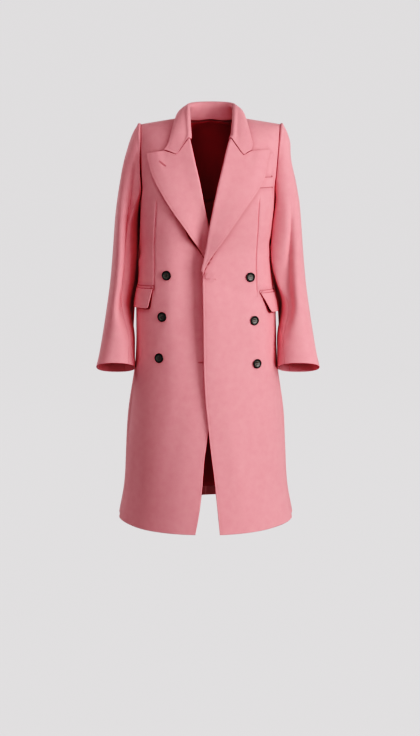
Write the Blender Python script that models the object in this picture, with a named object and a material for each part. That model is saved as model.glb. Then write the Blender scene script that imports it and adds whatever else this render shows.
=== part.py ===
"""A double-breasted topcoat, worn open and hollow, as solid pieces of cloth.

Sizes are in metres. The origin is where the wearer's shoulders carry the coat: on its centre line,
level with the neck ends of the shoulder seams. X points to the wearer's left, -Y to the front, Z up.

The coat's form is one surface, body(turn, level). Turn goes round the coat: 0 at the centre front,
a quarter turn at the wearer's left side, half a turn at the centre back. Level goes up it: below the
chest line it is a height in metres, at most 0, and above that line it runs from 0 to 1, up and over
to the shoulder seam. Each piece is a wall between two grids of points, its outer and its inner
face, on that surface or lifted off it, a cloth's thickness apart.
"""

import math

import bpy
import numpy as np

# Cloth
WOOL = 0.0022
FACING = 0.0020
TRIM = 0.0016
LINING = 0.0010
SEAM = 0.0004
SLEEVE_SEAM = 0.0010
GORGE_SEAM = 0.0010

# Heights
HEM_Z = -1.034
CHEST_Z = -0.215
HEM_TURN_UP = 0.022

# Shoulders and armholes
NECK_X = 0.083
TIP_X = 0.175
SHOULDER_DROP = 0.015
SHOULDER_HALF = 0.183
RIDGE_Y = 0.006
SIDE_SEAM = 97.0
PANEL_SEAM = 76.0
ARMHOLE_FRONT = 63.0
ARMHOLE_BACK = 117.0
CHEST_TURN = 41.7

# Pockets, collar and buttons
DART_DEPTH = 0.0016
DART_HALF = 1.3
BREAK_Z = -0.372
GORGE_Z = -0.050
LAPEL_LIFT = 0.0062
ROLL_LIFT = 0.0078
LOW_ROLL_LIFT = 0.0058
LAPPED_LIFT = 0.0046
LAPEL_SINKS = 0.45
ROLL_IN = 0.0026
ROLL_SINK = 0.0008
STAND_IN = 0.0038
BUTTON_RADIUS = 0.0120
BUTTON_HEIGHT = 0.0042
BUTTON_SIDES = 16
BUTTON_GAP = 0.0005


def table(columns, *rows):
    """Rows of numbers as one array for each named column."""
    values = np.array(rows, float)
    return {name: values[:, i] for i, name in enumerate(columns.split())}


# The coat's level sections, from hem to chest line: half its width, how far it reaches forward and
# back of the shoulder seams, its middle, and how square it is (2 is an ellipse).
BODY = table(
    "z       half   front  back   centre  square",
    (-1.034, 0.228, 0.190, 0.188, -0.013, 2.25),
    (-0.950, 0.213, 0.181, 0.179, -0.013, 2.30),
    (-0.850, 0.205, 0.170, 0.167, -0.013, 2.35),
    (-0.750, 0.197, 0.160, 0.156, -0.012, 2.40),
    (-0.650, 0.187, 0.150, 0.147, -0.011, 2.45),
    (-0.560, 0.181, 0.142, 0.139, -0.011, 2.50),
    (-0.470, 0.179, 0.134, 0.129, -0.012, 2.50),
    (-0.400, 0.172, 0.127, 0.112, -0.013, 2.60),
    (-0.330, 0.168, 0.125, 0.099, -0.013, 2.70),
    (-0.270, 0.169, 0.132, 0.108, -0.010, 2.90),
    (-0.215, 0.171, 0.136, 0.120, -0.007, 3.00),
)

# Folds that hang down the skirt: where each stands, how broad it is, how far it is pushed out or in,
# and the heights where it starts and where it is at its full depth.
SKIRT_FOLDS = table(
    "turn  spread  depth   start   full",
    (-88, 7.0, -0.0080, -0.52, -0.74),
    (-107, 10.0, 0.0125, -0.55, -0.80),
    (-132, 9.0, -0.0090, -0.50, -0.90),
    (-152, 9.0, 0.0080, -0.56, -0.95),
    (-170, 8.0, -0.0060, -0.60, -0.98),
    (166, 9.0, 0.0070, -0.62, -0.98),
    (146, 9.0, -0.0080, -0.54, -0.92),
    (126, 8.0, 0.0060, -0.52, -0.90),
    (106, 10.0, 0.0120, -0.58, -0.80),
    (88, 7.0, -0.0080, -0.55, -0.76),
    (-58, 12.0, -0.0050, -0.60, -0.95),
    (52, 13.0, -0.0055, -0.66, -1.00),
    (0, 23.0, 0.0090, -0.30, -0.46),
)

# The front edge from the hem to the break, then the roll line, then the neck edge. The wearer's
# left front laps over the right one, and the two part below the knee.
OVER_EDGE = table(
    "z       x",
    (-1.034, 0.023),
    (-0.903, 0.010),
    (-0.804, -0.002),
    (-0.742, -0.008),
    (-0.693, -0.013),
    (-0.602, -0.017),
    (-0.492, -0.018),
    (-0.372, -0.020),
    (-0.345, -0.0142),
    (-0.310, -0.0078),
    (-0.281, -0.0035),
    (-0.238, 0.0045),
    (-0.180, 0.0165),
    (-0.116, 0.0320),
    (-0.050, 0.0500),
    (-0.024, 0.0645),
    (-0.008, 0.0760),
    (0.000, 0.083),
)
UNDER_EDGE = table(
    "z       x",
    (-1.034, -0.038),
    (-0.985, -0.029),
    (-0.931, -0.022),
    (-0.845, -0.015),
    (-0.780, -0.006),
    (-0.700, 0.000),
    (-0.600, 0.004),
    (-0.490, 0.007),
    (-0.372, 0.010),
    (-0.310, 0.003),
    (-0.254, -0.0085),
    (-0.212, -0.0175),
    (-0.148, -0.0300),
    (-0.099, -0.0420),
    (-0.050, -0.0540),
    (-0.024, -0.0670),
    (-0.008, -0.0770),
    (0.000, -0.083),
)

# How far the lapped-under front lies behind the form, near its edge.
TUCK = table(
    "z       depth",
    (-1.034, 0.0030),
    (-0.900, 0.0040),
    (-0.700, 0.0085),
    (-0.580, 0.0145),
    (-0.460, 0.0205),
    (-0.360, 0.0205),
    (-0.260, 0.0125),
    (-0.160, 0.0030),
    (-0.110, 0.0000),
)
TUCK_FROM_X = -0.110
TUCK_FULL_X = -0.016

# How far the lapping front's edge and roll stand off the form, and how far in from them.
LAP_STAND = table(
    "z       stand",
    (-0.800, 0.0000),
    (-0.700, 0.0020),
    (-0.580, 0.0060),
    (-0.460, 0.0090),
    (-0.360, 0.0080),
    (-0.260, 0.0050),
    (-0.160, 0.0010),
    (-0.110, 0.0000),
)
LAP_BREADTH = 0.090

# The lapel's outer edge, from the break up to the peak.
OVER_LAPEL = table(
    "along  x       z",
    (0.00, -0.020, -0.387),
    (0.08, -0.014, -0.366),
    (0.22, 0.010, -0.325),
    (0.40, 0.044, -0.276),
    (0.58, 0.080, -0.223),
    (0.74, 0.112, -0.176),
    (0.85, 0.129, -0.143),
    (0.94, 0.137, -0.105),
    (1.00, 0.144, -0.077),
)
UNDER_LAPEL = table(
    "along  x       z",
    (0.00, 0.010, -0.387),
    (0.08, 0.001, -0.368),
    (0.22, -0.020, -0.333),
    (0.40, -0.058, -0.272),
    (0.58, -0.096, -0.216),
    (0.74, -0.126, -0.165),
    (0.85, -0.140, -0.134),
    (0.94, -0.148, -0.108),
    (1.00, -0.152, -0.087),
)

# The lapel's top: the gorge seam down from the roll line to the notch, the collar's end up to its
# point, then the top of the peak.
OVER_GORGE = table(
    "across  x      z",
    (0.00, 0.050, -0.050),
    (0.12, 0.060, -0.063),
    (0.24, 0.071, -0.077),
    (0.36, 0.081, -0.088),
    (0.46, 0.090, -0.083),
    (0.56, 0.100, -0.078),
    (0.78, 0.121, -0.0775),
    (1.00, 0.144, -0.077),
)
UNDER_GORGE = table(
    "across  x       z",
    (0.00, -0.054, -0.050),
    (0.12, -0.064, -0.063),
    (0.24, -0.074, -0.076),
    (0.36, -0.084, -0.087),
    (0.46, -0.098, -0.082),
    (0.56, -0.113, -0.078),
    (0.78, -0.132, -0.0825),
    (1.00, -0.152, -0.087),
)
COLLAR_POINT = 0.56

# How much further than at its roll each lapel's outer edge stands off the chest.
LAPEL_STAND = {"left": 0.0045, "right": 0.0065}

# The collar from the centre back (0) to the gorge (1): its seam on the back or front neck edge, the
# top of its fold, and its outer edge on the shoulder and chest.
COLLAR = table(
    "along  seam_x  seam_level  fold_x  fold_y   fold_z   edge_x  edge_level",
    (0.00, 0.000, 0.750, 0.0000, 0.0560, 0.0385, 0.0000, 0.610),
    (0.15, 0.031, 0.765, 0.0270, 0.0520, 0.0380, 0.0350, 0.650),
    (0.28, 0.057, 0.820, 0.0465, 0.0390, 0.0365, 0.0620, 0.755),
    (0.38, 0.075, 0.910, 0.0560, 0.0220, 0.0345, 0.0765, 0.885),
    (0.46, 0.083, 1.000, 0.0590, 0.0050, 0.0320, 0.0835, 1.000),
)
COLLAR_FRONT = table(
    "along  fold_x  fold_y   fold_z   edge_x  edge_z",
    (0.46, 0.0590, 0.0050, 0.0320, 0.0835, -0.0001),
    (0.58, 0.0590, -0.0200, 0.0235, 0.0880, -0.0090),
    (0.70, 0.0585, -0.0440, 0.0080, 0.0935, -0.0250),
    (0.82, 0.0570, -0.0670, -0.0130, 0.0985, -0.0440),
    (0.92, 0.0555, -0.0830, -0.0340, 0.1030, -0.0610),
)
FOLD_CENTRE = 0.002
COLLAR_BULGE = 0.0025

# The sleeve's sections: height, how far its inner side (one column for each arm) and its outer side
# stand from the coat's middle, its middle and half its breadth from front to back, how much higher
# it is in front, and how far its corners reach round the body behind and, for each arm, in front.
SLEEVE = table(
    "z       inner_left  inner_right  outer   middle  breadth  rise   behind  wrap_left  wrap_right",
    (-0.270, 0.1700, 0.1770, 0.2385, 0.006, 0.0820, 0.000, 0.0170, 0.0170, 0.0040),
    (-0.340, 0.1660, 0.1795, 0.2440, 0.004, 0.0790, 0.000, 0.0175, 0.0175, 0.0000),
    (-0.410, 0.1745, 0.1870, 0.2505, -0.002, 0.0745, 0.002, 0.0190, 0.0120, 0.0000),
    (-0.477, 0.1885, 0.1985, 0.2595, -0.011, 0.0690, 0.006, 0.0170, 0.0020, 0.0040),
    (-0.557, 0.1775, 0.1880, 0.2720, -0.027, 0.0610, 0.012, 0.0020, 0.0010, 0.0010),
    (-0.600, 0.1775, 0.1875, 0.2795, -0.041, 0.0550, 0.017, 0.0000, 0.0000, 0.0000),
    (-0.630, 0.1780, 0.1865, 0.2865, -0.054, 0.0490, 0.021, 0.0000, 0.0000, 0.0000),
)
SLEEVE_CENTRE = -0.0065
CUFF_Z = -0.630
BICEPS_Z = -0.270
FRONT_SEAM = 48.0
SLEEVE_HALF_SEAM = 0.60
BACK_SEAM = 292.0
SLEEVE_SQUARE = 2.3
HANG_STEP = 0.036
HEAD_RISE = 0.010
HEAD_RIDGE = 0.0038
RIDGE_AT = 0.010
RIDGE_HALF = 0.009
WRAPPED = {"behind": -48.0, "wrap_left": 47.5, "wrap_right": 47.5}
WRAP_SPREAD = 18.0

# Folds of the hanging sleeves: a run of places down each one, its breadth and its depth. Round is
# the way round the sleeve: 0 next to the body, 90 in front, 180 outside, 270 behind.
SLEEVE_FOLDS = {
    "left": (
        table("z      round  spread  depth", (-0.06, 172, 30, 0.0), (-0.11, 174, 30, -0.0085),
              (-0.16, 170, 28, -0.0035), (-0.21, 166, 25, 0.0)),
        table("z      round  spread  depth", (-0.18, 112, 16, 0.0), (-0.25, 104, 15, -0.0090),
              (-0.32, 95, 16, -0.0150), (-0.39, 77, 20, -0.0175), (-0.46, 62, 19, -0.0150),
              (-0.52, 55, 18, -0.0060), (-0.57, 50, 18, 0.0)),
        table("z      round  spread  depth", (-0.20, 134, 20, 0.0), (-0.32, 126, 18, 0.0045),
              (-0.42, 108, 18, 0.0040), (-0.54, 82, 18, 0.0)),
        table("z      round  spread  depth", (-0.20, 250, 22, 0.0), (-0.34, 238, 20, -0.0060),
              (-0.46, 262, 20, -0.0070), (-0.57, 280, 20, 0.0)),
    ),
    "right": (
        table("z      round  spread  depth", (-0.07, 116, 16, 0.0), (-0.11, 102, 16, -0.0070),
              (-0.16, 88, 19, -0.0130), (-0.22, 70, 27, -0.0240), (-0.28, 62, 30, -0.0290),
              (-0.42, 57, 29, -0.0270), (-0.49, 54, 26, -0.0150), (-0.56, 50, 22, 0.0)),
        table("z      round  spread  depth", (-0.08, 160, 20, 0.0), (-0.14, 140, 18, 0.0040),
              (-0.26, 112, 20, 0.0045), (-0.42, 104, 20, 0.0040), (-0.56, 100, 20, 0.0)),
        table("z      round  spread  depth", (-0.18, 244, 22, 0.0), (-0.33, 256, 20, -0.0070),
              (-0.47, 268, 20, -0.0060), (-0.58, 276, 20, 0.0)),
    ),
}

# The pocket flaps: turn and height of the top front corner, the turn and height where the top ends
# behind, how far the bottom front corner is set back, and how far the flap stands off.
FLAPS = {
    "left": dict(front=47.0, back=104.0, front_z=-0.4315, back_z=-0.441, slant=9.0, stand=0.0085),
    "right": dict(front=44.5, back=102.0, front_z=-0.4200, back_z=-0.430, slant=2.6, stand=0.0070),
}
FLAP_DEPTH = 0.050
BACK_STAND = 0.35
JET_HEIGHT = 0.0065

# The breast welt on the wearer's left.
WELT = dict(inner_x=0.104, outer_x=0.1565, low=-0.166, high=-0.142)

# Where the buttons are sewn on, from the top row to the lowest.
BUTTONS = {
    "left": table("x z", (0.099, -0.389), (0.109, -0.498), (0.116, -0.607)),
    "right": table("x z", (-0.109, -0.384), (-0.120, -0.488), (-0.128, -0.592)),
}


def read(rows, name, at, key=None):
    """A column of a table at any place along its first column, as a smooth curve with no overshoot."""
    key = key or next(iter(rows))
    order = np.argsort(rows[key])
    x = rows[key][order]
    y = rows[name][order]
    step = np.diff(x)
    slope = np.diff(y) / step
    bend = np.empty_like(y)
    bend[0] = slope[0]
    bend[-1] = slope[-1]
    for i in range(1, len(x) - 1):
        same_way = slope[i - 1] * slope[i] > 0
        bend[i] = 2 * slope[i - 1] * slope[i] / (slope[i - 1] + slope[i]) if same_way else 0.0
    at = np.clip(np.asarray(at, float), x[0], x[-1])
    i = np.clip(np.searchsorted(x, at) - 1, 0, len(step) - 1)
    s = (at - x[i]) / step[i]
    start = y[i] * (1 + 2 * s) * (1 - s) ** 2 + step[i] * bend[i] * s * (1 - s) ** 2
    end = y[i + 1] * s * s * (3 - 2 * s) + step[i] * bend[i + 1] * s * s * (s - 1)
    return start + end


def ease(start, full, at):
    """0 at start, 1 at full, smooth between."""
    s = np.clip((np.asarray(at, float) - start) / (full - start), 0.0, 1.0)
    return s * s * (3 - 2 * s)


def mix(a, b, share):
    return a + (b - a) * share


def unit(vectors):
    return vectors / np.linalg.norm(vectors, axis=-1, keepdims=True)


def shoulder_height(x):
    return -SHOULDER_DROP * (np.abs(x) - NECK_X) / (TIP_X - NECK_X)


def section(level):
    """What the section at this level measures: its height, the climb, half width, middle, squareness."""
    z = CHEST_Z + np.minimum(level, 0.0)
    climb = np.clip(level, 0.0, 1.0) * math.pi / 2
    half = read(BODY, "half", z) + (SHOULDER_HALF - BODY["half"][-1]) * np.sin(climb)
    middle = read(BODY, "centre", z) * (1 - np.sin(climb))
    return z, climb, half, middle, read(BODY, "square", z)


def body(turn, level):
    """The bare form of the coat. Turn is in degrees."""
    turn, level = np.broadcast_arrays(np.asarray(turn, float), np.asarray(level, float))
    z, climb, half, middle, square = section(level)
    across = np.sin(np.radians(turn))
    ahead = np.cos(np.radians(turn))
    reach = (np.abs(across) ** square + np.abs(ahead) ** square) ** (-1 / square)
    depth = np.where(ahead > 0, read(BODY, "front", z), read(BODY, "back", z))
    x = middle + half * reach * across
    y = RIDGE_Y * np.sin(climb) - depth * reach * ahead * np.cos(climb)
    return np.stack([x, y, z + (shoulder_height(x) - CHEST_Z) * np.sin(climb)], -1)


def normal(turn, level):
    """The form's outward direction."""
    round_it = body(turn + 0.02, level) - body(turn - 0.02, level)
    up_it = body(turn, level + 1e-4) - body(turn, level - 1e-4)
    return unit(np.cross(round_it, up_it))


def skirt_folds(turn, level):
    """How far the hanging folds push the cloth out."""
    z = CHEST_Z + np.minimum(level, 0.0)
    out = np.zeros(np.shape(z))
    for where, spread, depth, start, full in zip(*SKIRT_FOLDS.values()):
        away = (turn - where + 180) % 360 - 180
        out = out + depth * np.exp(-((away / spread) ** 2)) * ease(start, full, z)
    return out


def on_body(turn, level, lift=0.0):
    """Points of the draped cloth, lifted off it along the form's outward direction."""
    turn, level, lift = np.broadcast_arrays(*(np.asarray(a, float) for a in (turn, level, lift)))
    inside = np.minimum(level, 1 - 1e-4)
    return body(turn, level) + normal(turn, inside) * (skirt_folds(turn, level) + lift)[..., None]


def level_at(x, z):
    """The level of a place on the front given by x and height."""
    climb = np.clip((z - CHEST_Z) / (shoulder_height(x) - CHEST_Z), 0.0, 1.0)
    return np.where(z > CHEST_Z, np.arcsin(climb) / (math.pi / 2), z - CHEST_Z)


def turn_at(x, level):
    """The turn on the front half at which the form has this x."""
    _, _, half, middle, square = section(level)
    share = np.clip(np.abs(x - middle) / half, 0.0, 0.995) ** square
    return np.degrees(np.arctan((share / (1 - share)) ** (1 / square))) * np.sign(x - middle)


def on_front(x, z, lift=0.0):
    """Points of the front given by x and height, as a tailor sees it from in front."""
    level = level_at(x, z)
    return on_body(turn_at(x, level), level, lift)


def edge_x(edge, level):
    """x of a front's inner edge at this level."""
    x = np.full(np.shape(level), 0.05)
    for _ in range(6):
        _, climb, _, _, _ = section(level)
        z = CHEST_Z + np.minimum(level, 0.0) + (shoulder_height(x) - CHEST_Z) * np.sin(climb)
        x = read(edge, "x", z)
    return x


def lap(side, x, z):
    """How far the lap pushes this front out, or the lapped-under one in, here."""
    if side == "left":
        return read(LAP_STAND, "stand", z) * ease(LAP_BREADTH, 0.0, x - read(OVER_EDGE, "x", z))
    return -read(TUCK, "depth", z) * ease(TUCK_FROM_X, TUCK_FULL_X, x)


def armhole_level(angle):
    """The armhole's level: angle runs from -90 under the arm to 90 at the shoulder's tip."""
    return np.arcsin((1 + np.sin(np.radians(angle))) / 2) / (math.pi / 2)


def armhole_turn(angle, upper):
    """The armhole's turn: it leaves the side seam level and rounds into its upright front or back."""
    dip = np.where(angle < 0, np.abs(np.sin(np.radians(angle))), 0.0)
    return mix(SIDE_SEAM, upper, (1 - dip**3) ** (1 / 3))


# ---------------------------------------------------------------- materials and walls


def finish(name, colour, roughness):
    material = bpy.data.materials.new(name)
    material.use_nodes = True
    shader = material.node_tree.nodes["Principled BSDF"]
    shader.inputs["Base Color"].default_value = (*colour, 1.0)
    shader.inputs["Roughness"].default_value = roughness
    shader.inputs["Metallic"].default_value = 0.0
    return material


def show(name, mesh, material):
    mesh.materials.append(material)
    mesh.shade_smooth()
    mesh.set_sharp_from_angle(angle=math.radians(40))
    piece = bpy.data.objects.new(name, mesh)
    bpy.context.scene.collection.objects.link(piece)
    return piece


def cloth(name, outer, inner, material, outward=True):
    """A piece of cloth between two grids of points, its outer and its inner face, closed round its
    rim. Rows run up it and columns round the coat; outward=False is for one that runs the other way.
    """
    if not outward:
        outer, inner = outer[:, ::-1], inner[:, ::-1]
    rows, columns = outer.shape[:2]
    count = rows * columns
    corner = np.arange(count).reshape(rows, columns)
    faces = []
    for i in range(rows - 1):
        for j in range(columns - 1):
            low, low_next = corner[i, j : j + 2]
            high, high_next = corner[i + 1, j : j + 2]
            for face in ([low, low_next, high_next], [low, high_next, high]):
                faces += [face, [count + k for k in face[::-1]]]
    rim = [*corner[0], *corner[1:, -1], *corner[-1, -2::-1], *corner[-2:0:-1, 0]]
    for here, following in zip(rim, rim[1:] + rim[:1]):
        faces.append([here, count + here, count + following, following])
    mesh = bpy.data.meshes.new(name)
    mesh.from_pydata(np.concatenate([outer, inner]).reshape(-1, 3).tolist(), [], faces)
    return show(name, mesh, material)


def under(grid, thickness, outward=True):
    """The inner face of a grid whose own shape gives its direction out."""
    out = np.cross(np.gradient(grid, axis=1), np.gradient(grid, axis=0))
    return grid - unit(out) * (thickness if outward else -thickness)


# ---------------------------------------------------------------- fronts and backs

SKIRT_ROWS = 16
ARMHOLE_ROWS = 12
BACK_ARMHOLE = (-90, -70, -50, -25, 0, 25, 45, 58, 60, 63, 68, 74, 81, 90)
BACK_COLUMNS = 9
DART_COLUMN = 7
HALF_SEAM = math.degrees(SEAM / 2 / 0.17)
SIDES = {"left": 1, "right": -1}


def panel_levels():
    """Levels of the rows of the fronts and backs, and the armhole's angle at each."""
    low = np.linspace(HEM_Z - CHEST_Z, 0.0, SKIRT_ROWS + 1)[:-1]
    angle = np.linspace(-90.0, 90.0, ARMHOLE_ROWS + 1)
    levels = np.concatenate([low, armhole_level(angle)])
    return levels, np.concatenate([np.full(len(low), -90.0), angle])


def dart_turn(level):
    """The bust dart's turn, and the same line carried on up to the shoulder and down to the hem."""
    z = CHEST_Z + np.minimum(level, 0.0)
    low = np.interp(z, (HEM_Z, -0.42, -0.32, CHEST_Z), (45.0, 43.5, 44.3, CHEST_TURN))
    return low - 2.9 * np.clip(level, 0.0, 1.0)


def front(side, wool):
    """A forepart, from its edge and roll line to the side panel and armhole, with its dart sunk in."""
    sign = SIDES[side]
    edge = OVER_EDGE if side == "left" else UNDER_EDGE
    levels, angle = panel_levels()
    inner = turn_at(edge_x(edge, levels), levels)
    outer = sign * (np.minimum(armhole_turn(angle, ARMHOLE_FRONT), PANEL_SEAM) - HALF_SEAM)
    dart = sign * dart_turn(levels)
    near = dart - sign * DART_HALF
    far = dart + sign * DART_HALF
    turns = np.concatenate(
        [
            [mix(inner, near, s) for s in np.linspace(0, 1, 7)],
            [dart],
            [mix(far, outer, s) for s in np.linspace(0, 1, 5)],
        ]
    ).T
    lift = np.zeros(turns.shape)
    lift[:, DART_COLUMN] = -DART_DEPTH * ((levels < 0.04) & (levels > -0.21))
    points = body(turns, levels[:, None])
    lift += lap(side, points[..., 0], points[..., 2])
    shift = np.array([0, -SEAM / 2, 0]) * (levels == 1)[:, None, None]
    outer = on_body(turns, levels[:, None], lift) + shift
    inner = on_body(turns, levels[:, None], lift - WOOL) + shift
    return cloth(f"front_{side}", outer, inner, wool, outward=side == "left")


def side_panel(side, wool):
    """The panel under the arm, from the front's seam to the side seam, up to the armhole's foot."""
    sign = SIDES[side]
    low, _ = panel_levels()
    angle = np.linspace(-90.0, 0.0, 400)
    under_arm = armhole_turn(angle, ARMHOLE_FRONT)
    turns = np.linspace(PANEL_SEAM + HALF_SEAM, SIDE_SEAM - HALF_SEAM, 6)
    top = np.interp(turns, under_arm[::-1], armhole_level(angle)[::-1])
    levels = np.concatenate([np.outer(low[:SKIRT_ROWS], np.ones(6)), mix(low[SKIRT_ROWS], top, 0.5)[None], [top]])
    turns = sign * turns * np.ones(levels.shape)
    outer, inner = (on_body(turns, levels, lift) for lift in (0.0, -WOOL))
    return cloth(f"side_panel_{side}", outer, inner, wool, outward=side == "left")


def back_turns(side):
    """The turns of the back's columns at each of its levels, with its neck edge cut out."""
    sign = SIDES[side]
    low, _ = panel_levels()
    angle = np.array(BACK_ARMHOLE)
    levels = np.concatenate([low[:SKIRT_ROWS], armhole_level(angle)])
    angle = np.concatenate([np.full(SKIRT_ROWS, -90.0), angle])
    seam = math.degrees(SEAM / 2 / 0.15)
    side_edge = armhole_turn(angle, ARMHOLE_BACK) + seam
    centre = np.full(len(levels), 180.0 - seam)
    top = levels > COLLAR["seam_level"][0]
    neck_x = read(COLLAR, "seam_x", levels[top], key="seam_level")
    centre[top] = 180.0 - turn_at(neck_x, levels[top])
    turns = np.array([mix(side_edge, centre, s) for s in np.linspace(0, 1, BACK_COLUMNS + 1)]).T
    return sign * turns, levels[:, None]


def back(side, wool):
    """A back, from the centre seam to the side seam and armhole, with its neck edge."""
    turns, levels = back_turns(side)
    shift = np.array([0, SEAM / 2, 0]) * (levels == 1)[..., None]
    outer = on_body(turns, levels) + shift
    inner = on_body(turns, levels, -WOOL) + shift
    return cloth(f"back_{side}", outer, inner, wool, outward=side == "left")


def lining(silk):
    """The back's lining, made from both backs' points moved in: to the turned-up hem and the neck."""
    left, levels = back_turns("left")
    right, _ = back_turns("right")
    below_neck = int((levels[:, 0] < COLLAR["seam_level"][0]).sum())
    turns = np.concatenate([left, right[:, ::-1]], axis=1)[:below_neck]
    outer, inner = (on_body(turns, levels[:below_neck], -WOOL - gap) for gap in (SEAM, SEAM + LINING))
    share = HEM_TURN_UP / (levels[1, 0] - levels[0, 0])
    for face in (outer, inner):
        face[0] = mix(face[0], face[1], share)
    return cloth("lining", outer, inner, silk)


# ---------------------------------------------------------------- lapels and collar

LAPEL_ACROSS = (0.0, 0.12, 0.24, 0.36, 0.46, 0.56, 0.78, 1.0)


def roll_frame(points, inward):
    """For a line of points on a fold: its direction in towards the neck, and out over the fold."""
    along = unit(np.gradient(points, axis=0))
    inward = unit(inward - along * (inward * along).sum(-1, keepdims=True))
    over = np.cross(along, inward)
    return inward, over * np.sign(over[:, 2:3] - over[:, 1:2])


def rolled(roll, outer, inner, inward):
    """Adds the two columns with which a lapel rises beside the front's edge and turns over it."""
    inward, over = roll_frame(roll, inward)
    height = ((outer[:, 0] - roll) * over).sum(-1, keepdims=True)
    start = roll + inward * ROLL_IN - over * ROLL_SINK
    bend = roll + inward * (ROLL_IN + 0.0008) + over * height * 0.55
    thin = inward * FACING
    outer = np.concatenate([start[:, None], bend[:, None], outer], axis=1)
    low_bend = bend - thin - over * 0.0008
    inner = np.concatenate([(start - thin)[:, None], low_bend[:, None], inner], axis=1)
    return outer, inner


def lapel_stand(side, along, across):
    """How far the lapel's outer edge stands off, but not where the collar's end joins it."""
    joined = ease(0.8, 1.0, along) * ease(COLLAR_POINT + 0.2, COLLAR_POINT, across)
    return LAPEL_STAND[side] * ease(0.2, 1.0, across) * ease(0.05, 0.35, along) * (1 - joined)


def lapel(side, wool):
    """A peaked lapel: it leaves the front's edge at the roll line, rolls over and lies on the chest."""
    sign = SIDES[side]
    edge, outline, gorge = (
        (OVER_EDGE, OVER_LAPEL, OVER_GORGE)
        if side == "left"
        else (UNDER_EDGE, UNDER_LAPEL, UNDER_GORGE)
    )
    along = np.linspace(0.0, 1.0, 15)[:, None]
    across = np.array(LAPEL_ACROSS)
    roll_z = mix(BREAK_Z, GORGE_Z, along)
    roll_x = read(edge, "x", roll_z)
    end_x = read(outline, "x", along)
    end_z = read(outline, "z", along)
    x = mix(roll_x, end_x, across)
    z = mix(roll_z, end_z, across)
    near_top = along**5
    x += near_top * (np.interp(across, gorge["across"], gorge["x"]) - x[-1])
    z += near_top * (np.interp(across, gorge["across"], gorge["z"]) - z[-1])
    z -= SEAM * along
    width = np.clip(np.abs(end_x - roll_x) / 0.03, 0.0, 1.0)
    roll_lift = mix(LOW_ROLL_LIFT, ROLL_LIFT, ease(0.15, 0.75, along))
    lift = mix(roll_lift, LAPEL_LIFT, np.clip(across / 0.24, 0, 1))
    lift = mix(WOOL + 0.0022, lift, width) + lapel_stand(side, along, across)
    sinks = 1.0
    if side == "right":
        lift = mix(lift, LAPPED_LIFT, ease(-0.19, -0.235, z) * ease(-0.06, -0.02, x))
        sinks = mix(LAPEL_SINKS, 1.0, ease(-0.055, TUCK_FULL_X, x))
    lift = lift + lap(side, x, z) * sinks
    roll = on_front(roll_x[:, 0], roll_z[:, 0], lap(side, roll_x, roll_z)[:, 0])
    outer = on_front(x, z, lift)
    inner = on_front(x, z, lift - FACING)
    outer, inner = rolled(roll, outer, inner, np.array([[-sign, 0.0, 0.0]]))
    return cloth(f"lapel_{side}", outer, inner, wool, outward=side == "left")


def collar_half(sign):
    """The rows of one half of the collar, from the centre back to the gorge, each from the neck seam
    over the fold to the outer edge."""
    gorge = OVER_GORGE if sign > 0 else UNDER_GORGE
    edge = OVER_EDGE if sign > 0 else UNDER_EDGE
    behind = np.linspace(0.0, 0.46, 7)
    ahead = np.linspace(0.46, 0.92, 6)[1:]
    seam = []
    fold = []
    rim = []
    for a in behind:
        level = read(COLLAR, "seam_level", a)
        x = read(COLLAR, "seam_x", a)
        rim_level = read(COLLAR, "edge_level", a)
        rim_x = read(COLLAR, "edge_x", a)
        seam.append(on_body(180.0 - turn_at(x, level), level, -0.0008))
        fold.append([read(COLLAR, name, a) for name in ("fold_x", "fold_y", "fold_z")])
        rim.append(on_body(180.0 - turn_at(rim_x, rim_level), rim_level, LAPEL_LIFT - 0.001))
    for a in ahead:
        z = mix(0.0, GORGE_Z, (a - 0.46) / 0.54)
        x = abs(read(edge, "x", z))
        seam.append(on_front(x, z, -0.0008))
        fold.append([read(COLLAR_FRONT, name, a) for name in ("fold_x", "fold_y", "fold_z")])
        rim_z = read(COLLAR_FRONT, "edge_z", a)
        rim.append(on_front(read(COLLAR_FRONT, "edge_x", a), rim_z, LAPEL_LIFT - 0.001))
    return np.array(seam), np.array(fold), np.array(rim), gorge


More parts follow.
